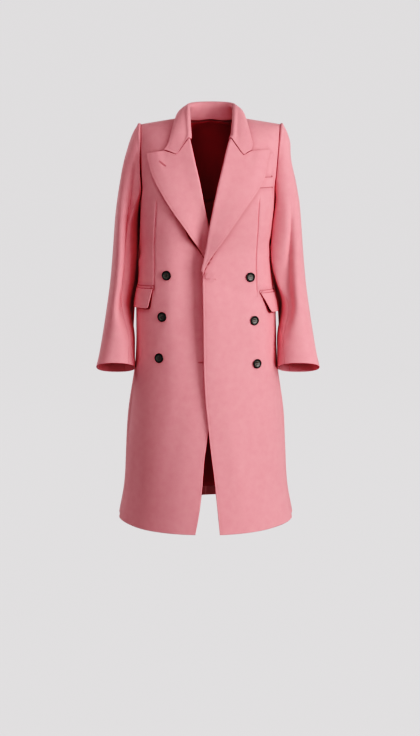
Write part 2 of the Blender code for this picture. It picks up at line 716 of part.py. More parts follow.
def collar(wool):
    """Stand and leaf in one wall, folded over: both halves, joined at the centre back."""
    halves = []
    for sign in (1, -1):
        seam, fold, rim, gorge = collar_half(sign)
        mirror = np.array([sign, 1.0, 1.0])
        seam = seam * mirror
        fold = fold * mirror + np.array([FOLD_CENTRE, 0, 0])
        rim = rim * mirror
        across = np.array(LAPEL_ACROSS[: LAPEL_ACROSS.index(COLLAR_POINT) + 1])
        end_x = np.interp(across, gorge["across"], gorge["x"])
        end_z = np.interp(across, gorge["across"], gorge["z"]) + GORGE_SEAM
        end_lift = mix(ROLL_LIFT, LAPEL_LIFT, np.clip(across / 0.24, 0, 1))
        end = on_front(end_x, end_z, end_lift)
        end_inner = on_front(end_x, end_z, end_lift - FACING)
        folds = np.concatenate([fold, end[:1]])
        towards = np.stack(
            [-(folds[:, 0] - FOLD_CENTRE), -np.clip(folds[:, 1], 0.0, 1.0), 0 * folds[:, 0]], -1
        )
        inward, over = roll_frame(folds, unit(towards))
        rows = []
        for k in range(len(fold)):
            start = seam[k] + inward[k] * STAND_IN
            neck_side = folds[k] + inward[k] * 0.0042 - over[k] * 0.0045
            stand = mix(start, neck_side, 0.5) + inward[k] * 0.001
            outside = folds[k] - inward[k] * 0.0048 - over[k] * 0.0030
            leaf = [folds[k], outside]
            for s in across[2:] / COLLAR_POINT:
                share = (s - 0.214) / (1 - 0.214)
                bulge = COLLAR_BULGE * 4 * share * (1 - share)
                leaf.append(mix(outside, rim[k], share) + over[k] * bulge - inward[k] * bulge)
            rows.append([start, stand, neck_side, *leaf])
        rows = np.array(rows)
        seam_end = on_front(end_x[:1], end_z[:1], 0.0)
        roll = np.concatenate([2 * seam_end - on_front(end_x[:1], end_z[:1] - 0.01), seam_end])
        end, end_inner = (
            face[-1:]
            for face in rolled(roll, np.stack([end, end]), np.stack([end_inner, end_inner]),
                               np.array([[-sign, 0.0, 0.0]]))
        )
        end, end_inner = (
            np.insert(face, 1, mix(face[:, 0], face[:, 1], 0.5), axis=1) for face in (end, end_inner)
        )
        outer = np.concatenate([rows, end])
        inner = under(outer, WOOL, outward=sign < 0)
        inner[-1] = end_inner[0]
        halves.append((outer, inner))
    faces = [
        np.concatenate([right[:0:-1], left]).transpose(1, 0, 2) for left, right in zip(*halves)
    ]
    return cloth("collar", *faces, wool)


# ---------------------------------------------------------------- sleeves

CAP_SHARES = np.array([0.85, 0.68, 0.52, 0.37, 0.24, 0.13, 0.05, 0.0])
CAP_LENGTH = 0.20
ARM_ROWS = 10


def armhole_ring(side, round_it):
    """The sleeve's first ring, just outside the edge of the armhole."""
    sign = SIDES[side]
    round_it = round_it % 360
    ahead = round_it <= 180
    angle = np.where(ahead, round_it - 90.0, 270.0 - round_it)
    upper = np.where(ahead, ARMHOLE_FRONT, ARMHOLE_BACK)
    turn = armhole_turn(angle, upper)
    level = armhole_level(angle)
    ring = on_body(sign * turn, level)
    outwards = np.stack([sign * np.ones(len(ring)), 0 * angle, np.where(angle < -50, -0.6, 0.0)], -1)
    return ring + unit(outwards) * SLEEVE_SEAM


def arm_ring(side, round_it, z):
    """A smooth ring of the sleeve below the arm's top, at this height of its middle."""
    sign = SIDES[side]
    angle = np.radians(round_it)
    inner = read(SLEEVE, f"inner_{side}", z)
    outer = read(SLEEVE, "outer", z)
    reach = (np.abs(np.cos(angle)) ** SLEEVE_SQUARE + np.abs(np.sin(angle)) ** SLEEVE_SQUARE) ** (
        -1 / SLEEVE_SQUARE
    )
    aside = (inner + outer) / 2 - (outer - inner) / 2 * reach * np.cos(angle)
    for corner in ("behind", f"wrap_{side}"):
        away = (round_it - WRAPPED[corner] + 180) % 360 - 180
        aside = aside - read(SLEEVE, corner, z) * np.exp(-((away / WRAP_SPREAD) ** 2))
    x = SLEEVE_CENTRE + sign * aside
    ahead = reach * np.sin(angle)
    y = read(SLEEVE, "middle", z) - read(SLEEVE, "breadth", z) * ahead
    return np.stack([x, y, z + read(SLEEVE, "rise", z) * ahead], -1)


def sleeve_folds(side, round_it, z):
    """How far the folds push the sleeve's cloth out, here and at this height."""
    out = np.zeros(np.shape(z))
    for fold in SLEEVE_FOLDS[side]:
        away = (round_it - read(fold, "round", z) + 180) % 360 - 180
        out = out + read(fold, "depth", z) * np.exp(-((away / read(fold, "spread", z)) ** 2))
    return out


def head_ridge(round_it, from_seam):
    """The sleeve head's fullness, which stands up just outside its seam."""
    upness = (1 - np.cos(np.radians(round_it))) / 2
    return HEAD_RIDGE * ease(0.45, 0.9, upness) * np.exp(-(((from_seam - RIDGE_AT) / RIDGE_HALF) ** 2))


def sleeve_rows(side, round_it, heights, shares):
    """Smooth rings at these heights, and then at these shares of the way down from the armhole."""
    sign = SIDES[side]
    rows = [arm_ring(side, round_it, z) for z in heights]
    low = arm_ring(side, round_it, BICEPS_Z)
    top = armhole_ring(side, round_it)
    upness = (1 - np.cos(np.radians(round_it))) / 2
    leave = np.stack(
        [sign * mix(0.012, 0.084, upness**1.5), -0.03 * np.sin(np.radians(round_it)),
         mix(-0.060, HEAD_RISE, upness**0.7)], -1
    )
    hang = (low - arm_ring(side, round_it, BICEPS_Z - HANG_STEP)) / HANG_STEP
    arrive = -hang * mix(0.060, 0.300, upness)[:, None]
    for s in shares:
        at_top = top * (1 + 2 * s) * (1 - s) ** 2 + leave * s * (1 - s) ** 2
        rows.append(at_top + low * s * s * (3 - 2 * s) + arrive * s * s * (s - 1))
    return np.array(rows)


def sleeve_faces(side, round_it):
    """The outer and inner faces of a stretch of the sleeve, with its folds."""
    heights = np.linspace(CUFF_Z, BICEPS_Z, ARM_ROWS + 1)
    smooth, after, before = (
        sleeve_rows(side, round_it + step, heights, CAP_SHARES) for step in (0.0, 1.0, -1.0)
    )
    out = unit(np.cross(after - before, np.gradient(smooth, axis=0))) * SIDES[side]
    from_seam = np.concatenate([np.ones(len(heights)), CAP_SHARES])[:, None] * CAP_LENGTH
    push = sleeve_folds(side, round_it, smooth[..., 2]) + head_ridge(round_it, from_seam)
    outer = smooth + out * push[..., None]
    return outer, outer - out * WOOL


def sleeve(side, wool):
    """The top sleeve outside and the under sleeve next to the body, from cuff to armhole."""
    outer = np.linspace(FRONT_SEAM + SLEEVE_HALF_SEAM, BACK_SEAM - SLEEVE_HALF_SEAM, 15)
    inner = np.linspace(BACK_SEAM + SLEEVE_HALF_SEAM, 360 + FRONT_SEAM - SLEEVE_HALF_SEAM, 9)
    cloth(f"top_sleeve_{side}", *sleeve_faces(side, outer), wool, outward=side == "left")
    cloth(f"under_sleeve_{side}", *sleeve_faces(side, inner), wool, outward=side == "left")


# ---------------------------------------------------------------- pockets and buttons


def patch(name, turns, levels, lift, thickness, wool, side):
    """A small piece that lies on a panel: lift is how far its inner face is off the panel."""
    outer = on_body(turns, levels, lift + thickness)
    inner = on_body(turns, levels, lift)
    return cloth(name, outer, inner, wool, outward=side == "left")


def flap(side, wool):
    """A pocket flap and the jet above it, from the dart round to behind the side seam."""
    sign = SIDES[side]
    sizes = FLAPS[side]
    share = np.linspace(0, 1, 13)[None, :]
    down = np.linspace(1, 0, 4)[:, None]
    top_level = mix(sizes["front_z"], sizes["back_z"], share) - CHEST_Z
    turns = mix(sizes["front"], sizes["back"], share) + sizes["slant"] * down * (1 - share)
    lift = SEAM + sizes["stand"] * down * mix(1.0, BACK_STAND, share)
    patch(f"flap_{side}", sign * turns, top_level - FLAP_DEPTH * down, lift, WOOL, wool, side)
    turns = mix(sizes["front"] - 0.8, sizes["back"] + 0.8, share)
    levels = top_level + SEAM + JET_HEIGHT * np.array([[0.0], [1.0]])
    patch(f"jet_{side}", sign * turns, levels, SEAM, TRIM, wool, side)


def breast_welt(wool):
    x = np.linspace(WELT["inner_x"], WELT["outer_x"], 9)[None, :]
    z = np.linspace(WELT["low"], WELT["high"], 3)[:, None]
    levels = level_at(x, z)
    patch("breast_welt", turn_at(x, levels), levels, SEAM, TRIM, wool, "left")


def turned(profile, sides):
    """A closed turned solid from (radius, height) points that start and end on the axis."""
    points = [(0.0, 0.0, profile[0][1])]
    for radius, height in profile[1:-1]:
        for i in range(sides):
            angle = 2 * math.pi * i / sides
            points.append((radius * math.cos(angle), radius * math.sin(angle), height))
    points.append((0.0, 0.0, profile[-1][1]))
    last = len(points) - 1
    faces = []
    for i in range(sides):
        j = (i + 1) % sides
        faces.append((0, 1 + i, 1 + j))
        for ring in range(len(profile) - 3):
            a = 1 + ring * sides
            faces.append((a + i, a + sides + i, a + sides + j, a + j))
        a = last - sides
        faces.append((a + i, last, a + j))
    mesh = bpy.data.meshes.new("turned")
    mesh.from_pydata(points, [], faces)
    return mesh


def buttons(horn):
    """Six four-hole buttons with a raised rim, each lying on its front."""
    r = BUTTON_RADIUS
    h = BUTTON_HEIGHT
    profile = ((0, h * 0.50), (r * 0.66, h * 0.50), (r * 0.78, h), (r * 0.93, h),
               (r, h * 0.60), (r * 0.86, 0.0), (0, 0.0))
    blank = turned(profile, BUTTON_SIDES)
    drill = turned(((0, h), (0.0012, h), (0.0012, -h), (0, -h)), 6)
    for mesh in (blank, drill):
        mesh.shade_smooth()
    cutters = []
    for i in range(4):
        angle = math.radians(45 + 90 * i)
        cutter = bpy.data.objects.new(f"hole_{i + 1}", drill)
        cutter.location = (0.0032 * math.cos(angle), 0.0032 * math.sin(angle), 0.0)
        cutters.append(cutter)
    holes = bpy.data.collections.new("button_holes")
    holes.hide_render = True
    bpy.context.scene.collection.children.link(holes)
    for cutter in cutters:
        holes.objects.link(cutter)
        cutter.hide_render = True
        cutter.display_type = "WIRE"
    pierced = bpy.data.objects.new("pierced", blank)
    bpy.context.scene.collection.objects.link(pierced)
    for cutter in cutters:
        cut = pierced.modifiers.new(cutter.name, "BOOLEAN")
        cut.object = cutter
        cut.operation = "DIFFERENCE"
    graph = bpy.context.evaluated_depsgraph_get()
    mesh = bpy.data.meshes.new_from_object(pierced.evaluated_get(graph))
    for helper in (pierced, *cutters):
        bpy.data.objects.remove(helper)
    bpy.data.collections.remove(holes)
    mesh.materials.clear()
    mesh.materials.append(horn)
    for side, rows in BUTTONS.items():
        for row, (x, z) in enumerate(zip(rows["x"], rows["z"])):
            level = level_at(x, z)
            out = normal(turn_at(x, level), level)
            button = bpy.data.objects.new(f"button_{row + 1}_{side}", mesh)
            across = unit(np.cross(np.array([0.0, 0.0, 1.0]), out))
            turn = np.stack([across, np.cross(out, across), out], -1)
            place = np.eye(4)
            place[:3, :3] = turn
            place[:3, 3] = on_front(x, z, BUTTON_GAP)
            button.matrix_world = place.T.tolist()
            bpy.context.scene.collection.objects.link(button)


def main():
    for thing in list(bpy.data.objects):
        bpy.data.objects.remove(thing)
    wool = finish("rose wool", (0.72, 0.28, 0.31), 0.85)
    silk = finish("dark lining", (0.035, 0.010, 0.012), 0.45)
    horn = finish("dark horn", (0.030, 0.026, 0.025), 0.35)
    for side in SIDES:
        front(side, wool)
        side_panel(side, wool)
        back(side, wool)
        sleeve(side, wool)
        lapel(side, wool)
        flap(side, wool)
    collar(wool)
    breast_welt(wool)
    lining(silk)
    buttons(horn)


main()
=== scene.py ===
# %% [markdown]
# # A double-breasted topcoat in rose wool, worn and hollow
# The coat is cut from some twenty pieces of heavy wool. Every piece here is a thin wall of cloth on
# one form, the form that the coat takes when it is worn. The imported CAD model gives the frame: its
# solids are what collides, and the finer pieces made below stand in for them in the picture.

import math

import bpy
import numpy as np
from mathutils.kdtree import KDTree
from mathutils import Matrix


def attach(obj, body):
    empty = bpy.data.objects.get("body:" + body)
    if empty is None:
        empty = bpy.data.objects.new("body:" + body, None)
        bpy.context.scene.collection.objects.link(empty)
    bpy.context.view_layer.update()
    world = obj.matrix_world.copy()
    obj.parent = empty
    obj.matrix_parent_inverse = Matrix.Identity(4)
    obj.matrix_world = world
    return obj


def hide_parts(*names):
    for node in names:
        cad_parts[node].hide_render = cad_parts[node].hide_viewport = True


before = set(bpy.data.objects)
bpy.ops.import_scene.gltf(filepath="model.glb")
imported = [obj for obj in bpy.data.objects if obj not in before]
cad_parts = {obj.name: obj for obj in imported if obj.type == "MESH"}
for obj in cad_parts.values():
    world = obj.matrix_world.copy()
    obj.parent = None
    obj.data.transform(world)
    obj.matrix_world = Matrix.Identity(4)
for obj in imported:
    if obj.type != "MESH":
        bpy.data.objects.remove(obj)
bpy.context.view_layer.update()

# %% [markdown]
# ## The camera
# The photograph was taken from a little above the coat's collar, looking down at it, so the
# shoulders are seen from above and the hem curves down at its middle. A camera is only a place, a
# turn and a lens: the lens is a short telephoto, so the skirt doesn't spread out below.

# %% Camera
SENSOR = 36.0
LENS = 1568 / 736 * SENSOR
CAMERA_AT = (-0.0013, -4.0, 0.136)
LOOKS_DOWN = 11.0


def put_in_scene(name, data):
    """A new object with this data, in the scene's own collection."""
    placed = bpy.data.objects.new(name, data)
    bpy.context.scene.collection.objects.link(placed)
    return placed


lens = bpy.data.cameras.new("short telephoto")
lens.sensor_width = SENSOR
lens.lens = LENS
camera = put_in_scene("camera", lens)
camera.location = CAMERA_AT
camera.rotation_euler = (math.radians(90 - LOOKS_DOWN), 0, 0)
bpy.context.scene.camera = camera
print("lens", round(LENS, 1), "mm")

# %% [markdown]
# ## Tables and smooth curves
# A cutter's measurements come in tables. Each table here has named columns and a row for each
# section or fold, and one function reads a column at any height as a smooth curve.

# %% Read a table smoothly
def table(columns, *rows):
    """Rows of numbers as one array for each named column."""
    values = np.array(rows, float)
    return {name: values[:, i] for i, name in enumerate(columns.split())}


def read(rows, name, at, key=None):
    """A column of a table at any place along its first column, as a smooth curve with no overshoot."""
    key = key or next(iter(rows))
    order = np.argsort(rows[key])
    x = rows[key][order]
    y = rows[name][order]
    step = np.diff(x)
    slope = np.diff(y) / step
    bend = np.empty_like(y)
    bend[0] = slope[0]
    bend[-1] = slope[-1]
    for i in range(1, len(x) - 1):
        same_way = slope[i - 1] * slope[i] > 0
        bend[i] = 2 * slope[i - 1] * slope[i] / (slope[i - 1] + slope[i]) if same_way else 0.0
    at = np.clip(np.asarray(at, float), x[0], x[-1])
    i = np.clip(np.searchsorted(x, at) - 1, 0, len(step) - 1)
    s = (at - x[i]) / step[i]
    start = y[i] * (1 + 2 * s) * (1 - s) ** 2 + step[i] * bend[i] * s * (1 - s) ** 2
    end = y[i + 1] * s * s * (3 - 2 * s) + step[i] * bend[i + 1] * s * s * (s - 1)
    return start + end


def ease(start, full, at):
    """0 at start, 1 at full, smooth between."""
    s = np.clip((np.asarray(at, float) - start) / (full - start), 0.0, 1.0)
    return s * s * (3 - 2 * s)


def mix(a, b, share):
    """a at share 0 and b at share 1."""
    return a + (b - a) * share


def unit(vectors):
    """The same directions, each of length one."""
    return vectors / np.linalg.norm(vectors, axis=-1, keepdims=True)


print("half way up an eased step:", float(ease(0.0, 1.0, 0.5)))

# %% [markdown]
# ## The form of the worn coat
# A worn coat is a tube of cloth with shoulders. Its form is one surface: turn goes round the coat
# from the centre front, and level goes up it, first as a height and then up and over to the
# shoulder seam. The level sections are squarish ovals, wider at the hem. Sizes are in metres and
# turns in degrees; "left" is the wearer's left.

# %% Sizes of the cloth and the seams
WOOL = 0.0022
FACING = 0.0024
TRIM = 0.0016
LINING = 0.0010
SEAM = 0.00012
SLEEVE_SEAM = 0.0004
GORGE_SEAM = 0.0005
SIDES = {"left": 1, "right": -1}
print("wool", WOOL * 1000, "mm thick, lining", LINING * 1000, "mm")

# %% Sizes of the coat and its level sections
HEM_Z = -1.034
CHEST_Z = -0.215
NECK_X = 0.083
TIP_X = 0.175
SHOULDER_DROP = 0.015
SHOULDER_HALF = 0.183
RIDGE_Y = 0.006
SIDE_SEAM = 97.0
PANEL_SEAM = 76.0
ARMHOLE_FRONT = 63.0
ARMHOLE_BACK = 117.0
CHEST_TURN = 41.7
BREAK_Z = -0.372
GORGE_Z = -0.050
LAPEL_LIFT = 0.0062
ROLL_LIFT = 0.0078
LOW_ROLL_LIFT = 0.0058
LAPPED_LIFT = 0.0046
LAPEL_SINKS = 0.45
ROLL_IN = 0.0026
ROLL_SINK = 0.0008
STAND_IN = 0.0038

BODY = table(
    "z       half   front  back   centre  square",
    (-1.034, 0.228, 0.190, 0.188, -0.013, 2.25),
    (-0.950, 0.213, 0.181, 0.179, -0.013, 2.30),
    (-0.850, 0.205, 0.170, 0.167, -0.013, 2.35),
    (-0.750, 0.197, 0.160, 0.156, -0.012, 2.40),
    (-0.650, 0.187, 0.150, 0.147, -0.011, 2.45),
    (-0.560, 0.181, 0.142, 0.139, -0.011, 2.50),
    (-0.470, 0.179, 0.134, 0.129, -0.012, 2.50),
    (-0.400, 0.172, 0.127, 0.112, -0.013, 2.60),
    (-0.330, 0.168, 0.125, 0.099, -0.013, 2.70),
    (-0.270, 0.169, 0.132, 0.108, -0.010, 2.90),
    (-0.215, 0.171, 0.136, 0.120, -0.007, 3.00),
)
print("hem is", round(2 * BODY["half"][0] * 1000), "mm wide")

# %% The bare form
def shoulder_height(x):
    """Height of the shoulder seam, which slopes from the neck to the tip."""
    return -SHOULDER_DROP * (np.abs(x) - NECK_X) / (TIP_X - NECK_X)


def section(level):
    """What the section at this level measures: its height, the climb, half width, middle, squareness."""
    z = CHEST_Z + np.minimum(level, 0.0)
    climb = np.clip(level, 0.0, 1.0) * math.pi / 2
    half = read(BODY, "half", z) + (SHOULDER_HALF - BODY["half"][-1]) * np.sin(climb)
    middle = read(BODY, "centre", z) * (1 - np.sin(climb))
    return z, climb, half, middle, read(BODY, "square", z)


def body(turn, level):
    """The bare form of the coat. Turn is in degrees."""
    turn, level = np.broadcast_arrays(np.asarray(turn, float), np.asarray(level, float))
    z, climb, half, middle, square = section(level)
    across = np.sin(np.radians(turn))
    ahead = np.cos(np.radians(turn))
    reach = (np.abs(across) ** square + np.abs(ahead) ** square) ** (-1 / square)
    depth = np.where(ahead > 0, read(BODY, "front", z), read(BODY, "back", z))
    x = middle + half * reach * across
    y = RIDGE_Y * np.sin(climb) - depth * reach * ahead * np.cos(climb)
    return np.stack([x, y, z + (shoulder_height(x) - CHEST_Z) * np.sin(climb)], -1)


def normal(turn, level):
    """The form's outward direction."""
    round_it = body(turn + 0.02, level) - body(turn - 0.02, level)
    up_it = body(turn, level + 1e-4) - body(turn, level - 1e-4)
    return unit(np.cross(round_it, up_it))


print("front of the chest:", body(0, 0).round(3))

# %% [markdown]
# ## Folds and creases
# Below the seat the skirt hangs in long soft folds, which come from the flare and from how the
# coat was standing when it was photographed. Heavy wool takes few other creases, and those it has
# are broad and shallow: pulls towards the buttons at the waist, a break in front of each armhole
# and a few across the back. Each one is given as a row of a table.

# %% Folds of the skirt
SKIRT_FOLDS = table(
    "turn  spread  depth   start   full",
    (-88, 7.0, -0.0080, -0.52, -0.74),
    (-107, 10.0, 0.0125, -0.55, -0.80),
    (-132, 9.0, -0.0090, -0.50, -0.90),
    (-152, 9.0, 0.0080, -0.56, -0.95),
    (-170, 8.0, -0.0060, -0.60, -0.98),
    (166, 9.0, 0.0070, -0.62, -0.98),
    (146, 9.0, -0.0080, -0.54, -0.92),
    (126, 8.0, 0.0060, -0.52, -0.90),
    (106, 10.0, 0.0120, -0.58, -0.80),
    (88, 7.0, -0.0080, -0.55, -0.76),
    (-58, 12.0, -0.0050, -0.60, -0.95),
    (52, 13.0, -0.0055, -0.66, -1.00),
    (0, 23.0, 0.0090, -0.30, -0.46),
)
print("folds of the skirt:", len(SKIRT_FOLDS["turn"]))

# %% Soft creases
REACH_THROUGH = 0.07
CREASES = table(
    "turn    z     across  along  slant  depth",
    (-62, -0.165, 0.011, 0.050, 24, -0.0034),
    (-55, -0.190, 0.010, 0.045, 30, 0.0018),
    (60, -0.150, 0.010, 0.048, -18, -0.0028),
    (53, -0.185, 0.012, 0.040, -30, 0.0016),
    (-74, -0.330, 0.012, 0.055, 66, -0.0030),
    (-83, -0.365, 0.010, 0.040, 74, 0.0022),
    (78, -0.320, 0.011, 0.050, -62, -0.0028),
    (88, -0.352, 0.010, 0.038, -72, 0.0020),
    (-20, -0.415, 0.012, 0.060, 70, -0.0010),
    (24, -0.420, 0.013, 0.055, -72, -0.0012),
    (-34, -0.520, 0.016, 0.090, 20, 0.0016),
    (40, -0.560, 0.018, 0.100, -14, 0.0018),
    (-22, -0.800, 0.022, 0.130, 8, -0.0016),
    (20, -0.840, 0.020, 0.120, -6, 0.0022),
    (36, -0.900, 0.022, 0.110, 5, -0.0020),
    (-128, -0.150, 0.013, 0.060, 30, -0.0036),
    (127, -0.160, 0.012, 0.065, -28, -0.0034),
    (-146, -0.300, 0.013, 0.055, 78, -0.0026),
    (150, -0.315, 0.012, 0.060, -80, -0.0024),
    (-165, -0.345, 0.011, 0.045, 84, 0.0018),
    (168, -0.285, 0.012, 0.050, -86, 0.0016),
    (-118, -0.340, 0.012, 0.045, 70, -0.0026),
    (120, -0.345, 0.013, 0.050, -68, -0.0028),
    (-88, -1.000, 0.030, 0.180, 0, 0.0070),
    (88, -1.000, 0.030, 0.180, 0, 0.0070),
    (-107, -1.000, 0.036, 0.180, 0, -0.0070),
    (107, -1.000, 0.036, 0.180, 0, -0.0070),
)


def creases(turn, level):
    """How far the soft creases push the cloth out: slant leans a crease from the upright."""
    bare = body(turn, level)
    out = np.zeros(bare.shape[:-1])
    for where, z, across, along, slant, depth in zip(*CREASES.values()):
        middle = body(np.array(float(where)), level_of_height(z))
        to_right = unit(body(np.array(where + 1.0), level_of_height(z)) - middle)
        right = (bare - middle) @ to_right
        up = bare[..., 2] - middle[2]
        lean = math.radians(slant)
        over = right * math.cos(lean) - up * math.sin(lean)
        length = right * math.sin(lean) + up * math.cos(lean)
        away = (bare - middle) @ np.cross(to_right, (0.0, 0.0, 1.0))
        near = np.exp(-((away / REACH_THROUGH) ** 2))
        out += depth * near * np.exp(-((over / across) ** 2) - (length / along) ** 2)
    return out


def level_of_height(z):
    """The level at a height that lies below the shoulder, near enough for placing a crease."""
    rise = (z - CHEST_Z) / -CHEST_Z
    return np.array(z - CHEST_Z if z <= CHEST_Z else math.asin(min(rise, 1.0)) / (math.pi / 2))


print("soft creases:", len(CREASES["turn"]))

# %% Points of the draped cloth
def skirt_folds(turn, level):
    """How far the hanging folds push the cloth out."""
    z = CHEST_Z + np.minimum(level, 0.0)
    out = np.zeros(np.shape(z))
    for where, spread, depth, start, full in zip(*SKIRT_FOLDS.values()):
        away = (turn - where + 180) % 360 - 180
        out = out + depth * np.exp(-((away / spread) ** 2)) * ease(start, full, z)
    return out


def on_body(turn, level, lift=0.0):
    """Points of the draped cloth, lifted off it along the form's outward direction."""
    turn, level, lift = np.broadcast_arrays(*(np.asarray(a, float) for a in (turn, level, lift)))
    drape = skirt_folds(turn, level) + creases(turn, level)
    return body(turn, level) + out_at(turn, level) * (drape + lift)[..., None]


def out_at(turn, level):
    """The outward direction, also on the shoulder seam, where the form ends."""
    return normal(turn, np.minimum(level, 1 - 1e-4))


def level_at(x, z):
    """The level of a place on the front given by x and height."""
    climb = np.clip((z - CHEST_Z) / (shoulder_height(x) - CHEST_Z), 0.0, 1.0)
    return np.where(z > CHEST_Z, np.arcsin(climb) / (math.pi / 2), z - CHEST_Z)


def turn_at(x, level):
    """The turn on the front half at which the form has this x."""
    _, _, half, middle, square = section(level)
    share = np.clip(np.abs(x - middle) / half, 0.0, 0.995) ** square
    return np.degrees(np.arctan((share / (1 - share)) ** (1 / square))) * np.sign(x - middle)


def on_front(x, z, lift=0.0):
    """Points of the front given by x and height, as a tailor sees it from in front."""
    level = level_at(x, z)
    return on_body(turn_at(x, level), level, lift)


print("front at the waist:", on_front(0.1, -0.4).round(3))

# %% [markdown]
# ## Cloth with a thickness
# Heavy wool shows its thickness at every edge, and the edge is soft and round, never a sharp step.
# A piece is made as two grids of points, its outer and its inner face. Near the rim, rows and
# columns lie close together, and there the two faces draw together in a half circle. Each point
# also keeps how far it is from the rim, which the material uses for its stitching, and a UV map
# in metres, so that the weave has its real size and follows the piece.
# The distance from the rim also gives a painted shade: the colour darkens along every rim, seam and dart.

# %% Lines on a piece
NEAR = np.array([0.0, 0.15, 0.45, 0.9, 1.5, 2.2]) / 1000
ROUND = 0.0014
THINNEST = 0.14
STEP = 0.0055
SHORT_LINE = 0.012
FINE_STEP = 0.0004
FAR_FROM_EDGE = 0.05


def run_along(points, axis):
    """Length along a grid's rows (axis 1) or columns (axis 0), from their start."""
    steps = np.linalg.norm(np.diff(points, axis=axis), axis=-1)
    start = np.zeros_like(np.take(steps, [0], axis=axis))
    return np.concatenate([start, np.cumsum(steps, axis=axis)], axis=axis)


def close_at_ends(whole, step=STEP):
    """Distances along lines of these lengths: close together by both ends, a step apart between."""
    near = NEAR * np.minimum(1.0, whole[:, None] / SHORT_LINE)
    count = max(2, int(round(whole.max() / step)))
    middle = mix(near[:, -1:], whole[:, None] - near[:, -1:], np.linspace(0, 1, count + 1))
    return np.concatenate([near[:, :-1], middle, whole[:, None] - near[:, -2::-1]], axis=1)


def rim_of(grid):
    """The points round the edge of a grid, once round."""
    return np.concatenate([grid[0], grid[1:, -1], grid[-1, -2::-1], grid[-2:0:-1, 0]])


def tree_of(points):
    """The points sorted, so that the nearest one is found quickly."""
    tree = KDTree(len(points))
    for i, point in enumerate(points):
        tree.insert(point, i)
    tree.balance()
    return tree


def from_line(points, line):
    """How far each point is from a line."""
    fine = [line[:1]]
    for a, b in zip(line, line[1:]):
        n = max(1, int(np.linalg.norm(b - a) / FINE_STEP))
        fine.append(a + (b - a) * (np.arange(1, n + 1) / n)[:, None])
    tree = tree_of(np.concatenate(fine))
    flat = points.reshape(-1, 3)
    return np.array([min(tree.find(p)[2], FAR_FROM_EDGE) for p in flat]).reshape(points.shape[:-1])


def side_of(grid, side):
    """One of the four edges of a grid."""
    lines = {"low": grid[0], "high": grid[-1], "first": grid[:, 0], "last": grid[:, -1]}
    return lines[side]


print("points by an edge, in mm from it:", NEAR * 1000)

# %% A wall of cloth
made = []
faces_of = {}


def keep_on(mesh, label, values):
    """Keeps a number on each point of a mesh, for its material to read."""
    mesh.attributes.new(label, "FLOAT", "POINT").data.foreach_set("value", values)


def wall(name, face, out, thickness, materials, inside=None, free=(), outward=True, sewn=None):
    """A piece of cloth. face is its outer face, out its outward directions, and free names its
    edges that show. inside marks the inner face's squares that take the second material, and
    sewn is the line of a dart."""
    rim = rim_of(face)
    apart = from_line(face, np.concatenate([rim, rim[:1]]))
    free_apart = np.full(apart.shape, FAR_FROM_EDGE)
    for side in free:
        free_apart = np.minimum(free_apart, from_line(face, side_of(face, side)))
    share = np.sqrt(1 - (1 - np.clip(apart / ROUND, 0, 1)) ** 2)
    half = out * (thickness / 2 * np.maximum(share, THINNEST))[..., None]
    middle = face - out * (thickness / 2)
    across = run_along(face, 1)
    upward = run_along(face, 0)[:, face.shape[1] // 2][:, None] * np.ones(across.shape)
    rows, columns = face.shape[:2]
    count = rows * columns
    corner = np.arange(count).reshape(rows, columns)
    if not outward:
        corner = corner[:, ::-1]
    square = np.stack(
        [corner[:-1, :-1], corner[:-1, 1:], corner[1:, 1:], corner[1:, :-1]], -1
    ).reshape(-1, 4)
    line = rim_of(corner[..., None])[:, 0]
    following = np.roll(line, -1)
    edge = np.stack([line, count + line, count + following, following], -1)
    faces = np.concatenate([square, count + square[:, ::-1], edge])
    mesh = bpy.data.meshes.new(name)
    points = np.concatenate([(middle + half).reshape(-1, 3), (middle - half).reshape(-1, 3)])
    mesh.from_pydata(points.tolist(), [], faces.tolist())
    for material in materials:
        mesh.materials.append(material)
    slots = np.zeros(len(faces), int)
    if inside is not None:
        marked = inside[:, ::-1] if not outward else inside
        slots[len(square) : 2 * len(square)] = marked.reshape(-1)
    mesh.polygons.foreach_set("material_index", slots)
    uv = np.tile(np.stack([across, upward], -1).reshape(-1, 2), (2, 1))
    loops = np.empty(len(mesh.loops), int)
    mesh.loops.foreach_get("vertex_index", loops)
    mesh.uv_layers.new(name="cloth").data.foreach_set("uv", uv[loops].ravel())
    # The dart's line counts as a rim, so the painted seam shade and the pucker follow it too.
    if sewn is not None:
        apart = np.minimum(apart, from_line(face, sewn))
    # covered starts far from every piece; cover() fills it in below, and the material paints a shadow from
    # it.
    clear = np.full(apart.shape, FAR_FROM_EDGE)
    for label, values in (("rim", apart), ("free_edge", free_apart), ("covered", clear)):
        keep_on(mesh, label, np.tile(values.ravel(), 2))
    mesh.shade_smooth()
    piece = put_in_scene(name, mesh)
    made.append(piece)
    faces_of[name] = face, out
    print(f"{name}: {2 * len(faces)} triangles")


print("a wall's edge is at least", round(THINNEST * WOOL * 1000, 2), "mm thick")

# %% [markdown]
# ## Rose wool
# The cloth is a heavy woollen twill that has been milled and brushed, so its weave is nearly
# hidden under a short nap. In the material, fine diagonal ribs give the twill, a noise breaks them
# up as the nap does, two broader noises vary the colour as dyed wool varies, and a sheen stands
# for the fibre ends that catch light at the sides. Edges that show have a row of stitches sunk
# 6 mm from them, and seams pucker the cloth a little.
# The colour also carries painted shade: darker along every rim, seam and dart, and a painted shadow beside
# and under the pieces that lie on the cloth.

# %% Nodes and sums of nodes
def new_material(name):
    """A material made of nodes, with its tree and its main shader."""
    material = bpy.data.materials.new(name)
    material.use_nodes = True
    tree = material.node_tree
    return material, tree, tree.nodes["Principled BSDF"]


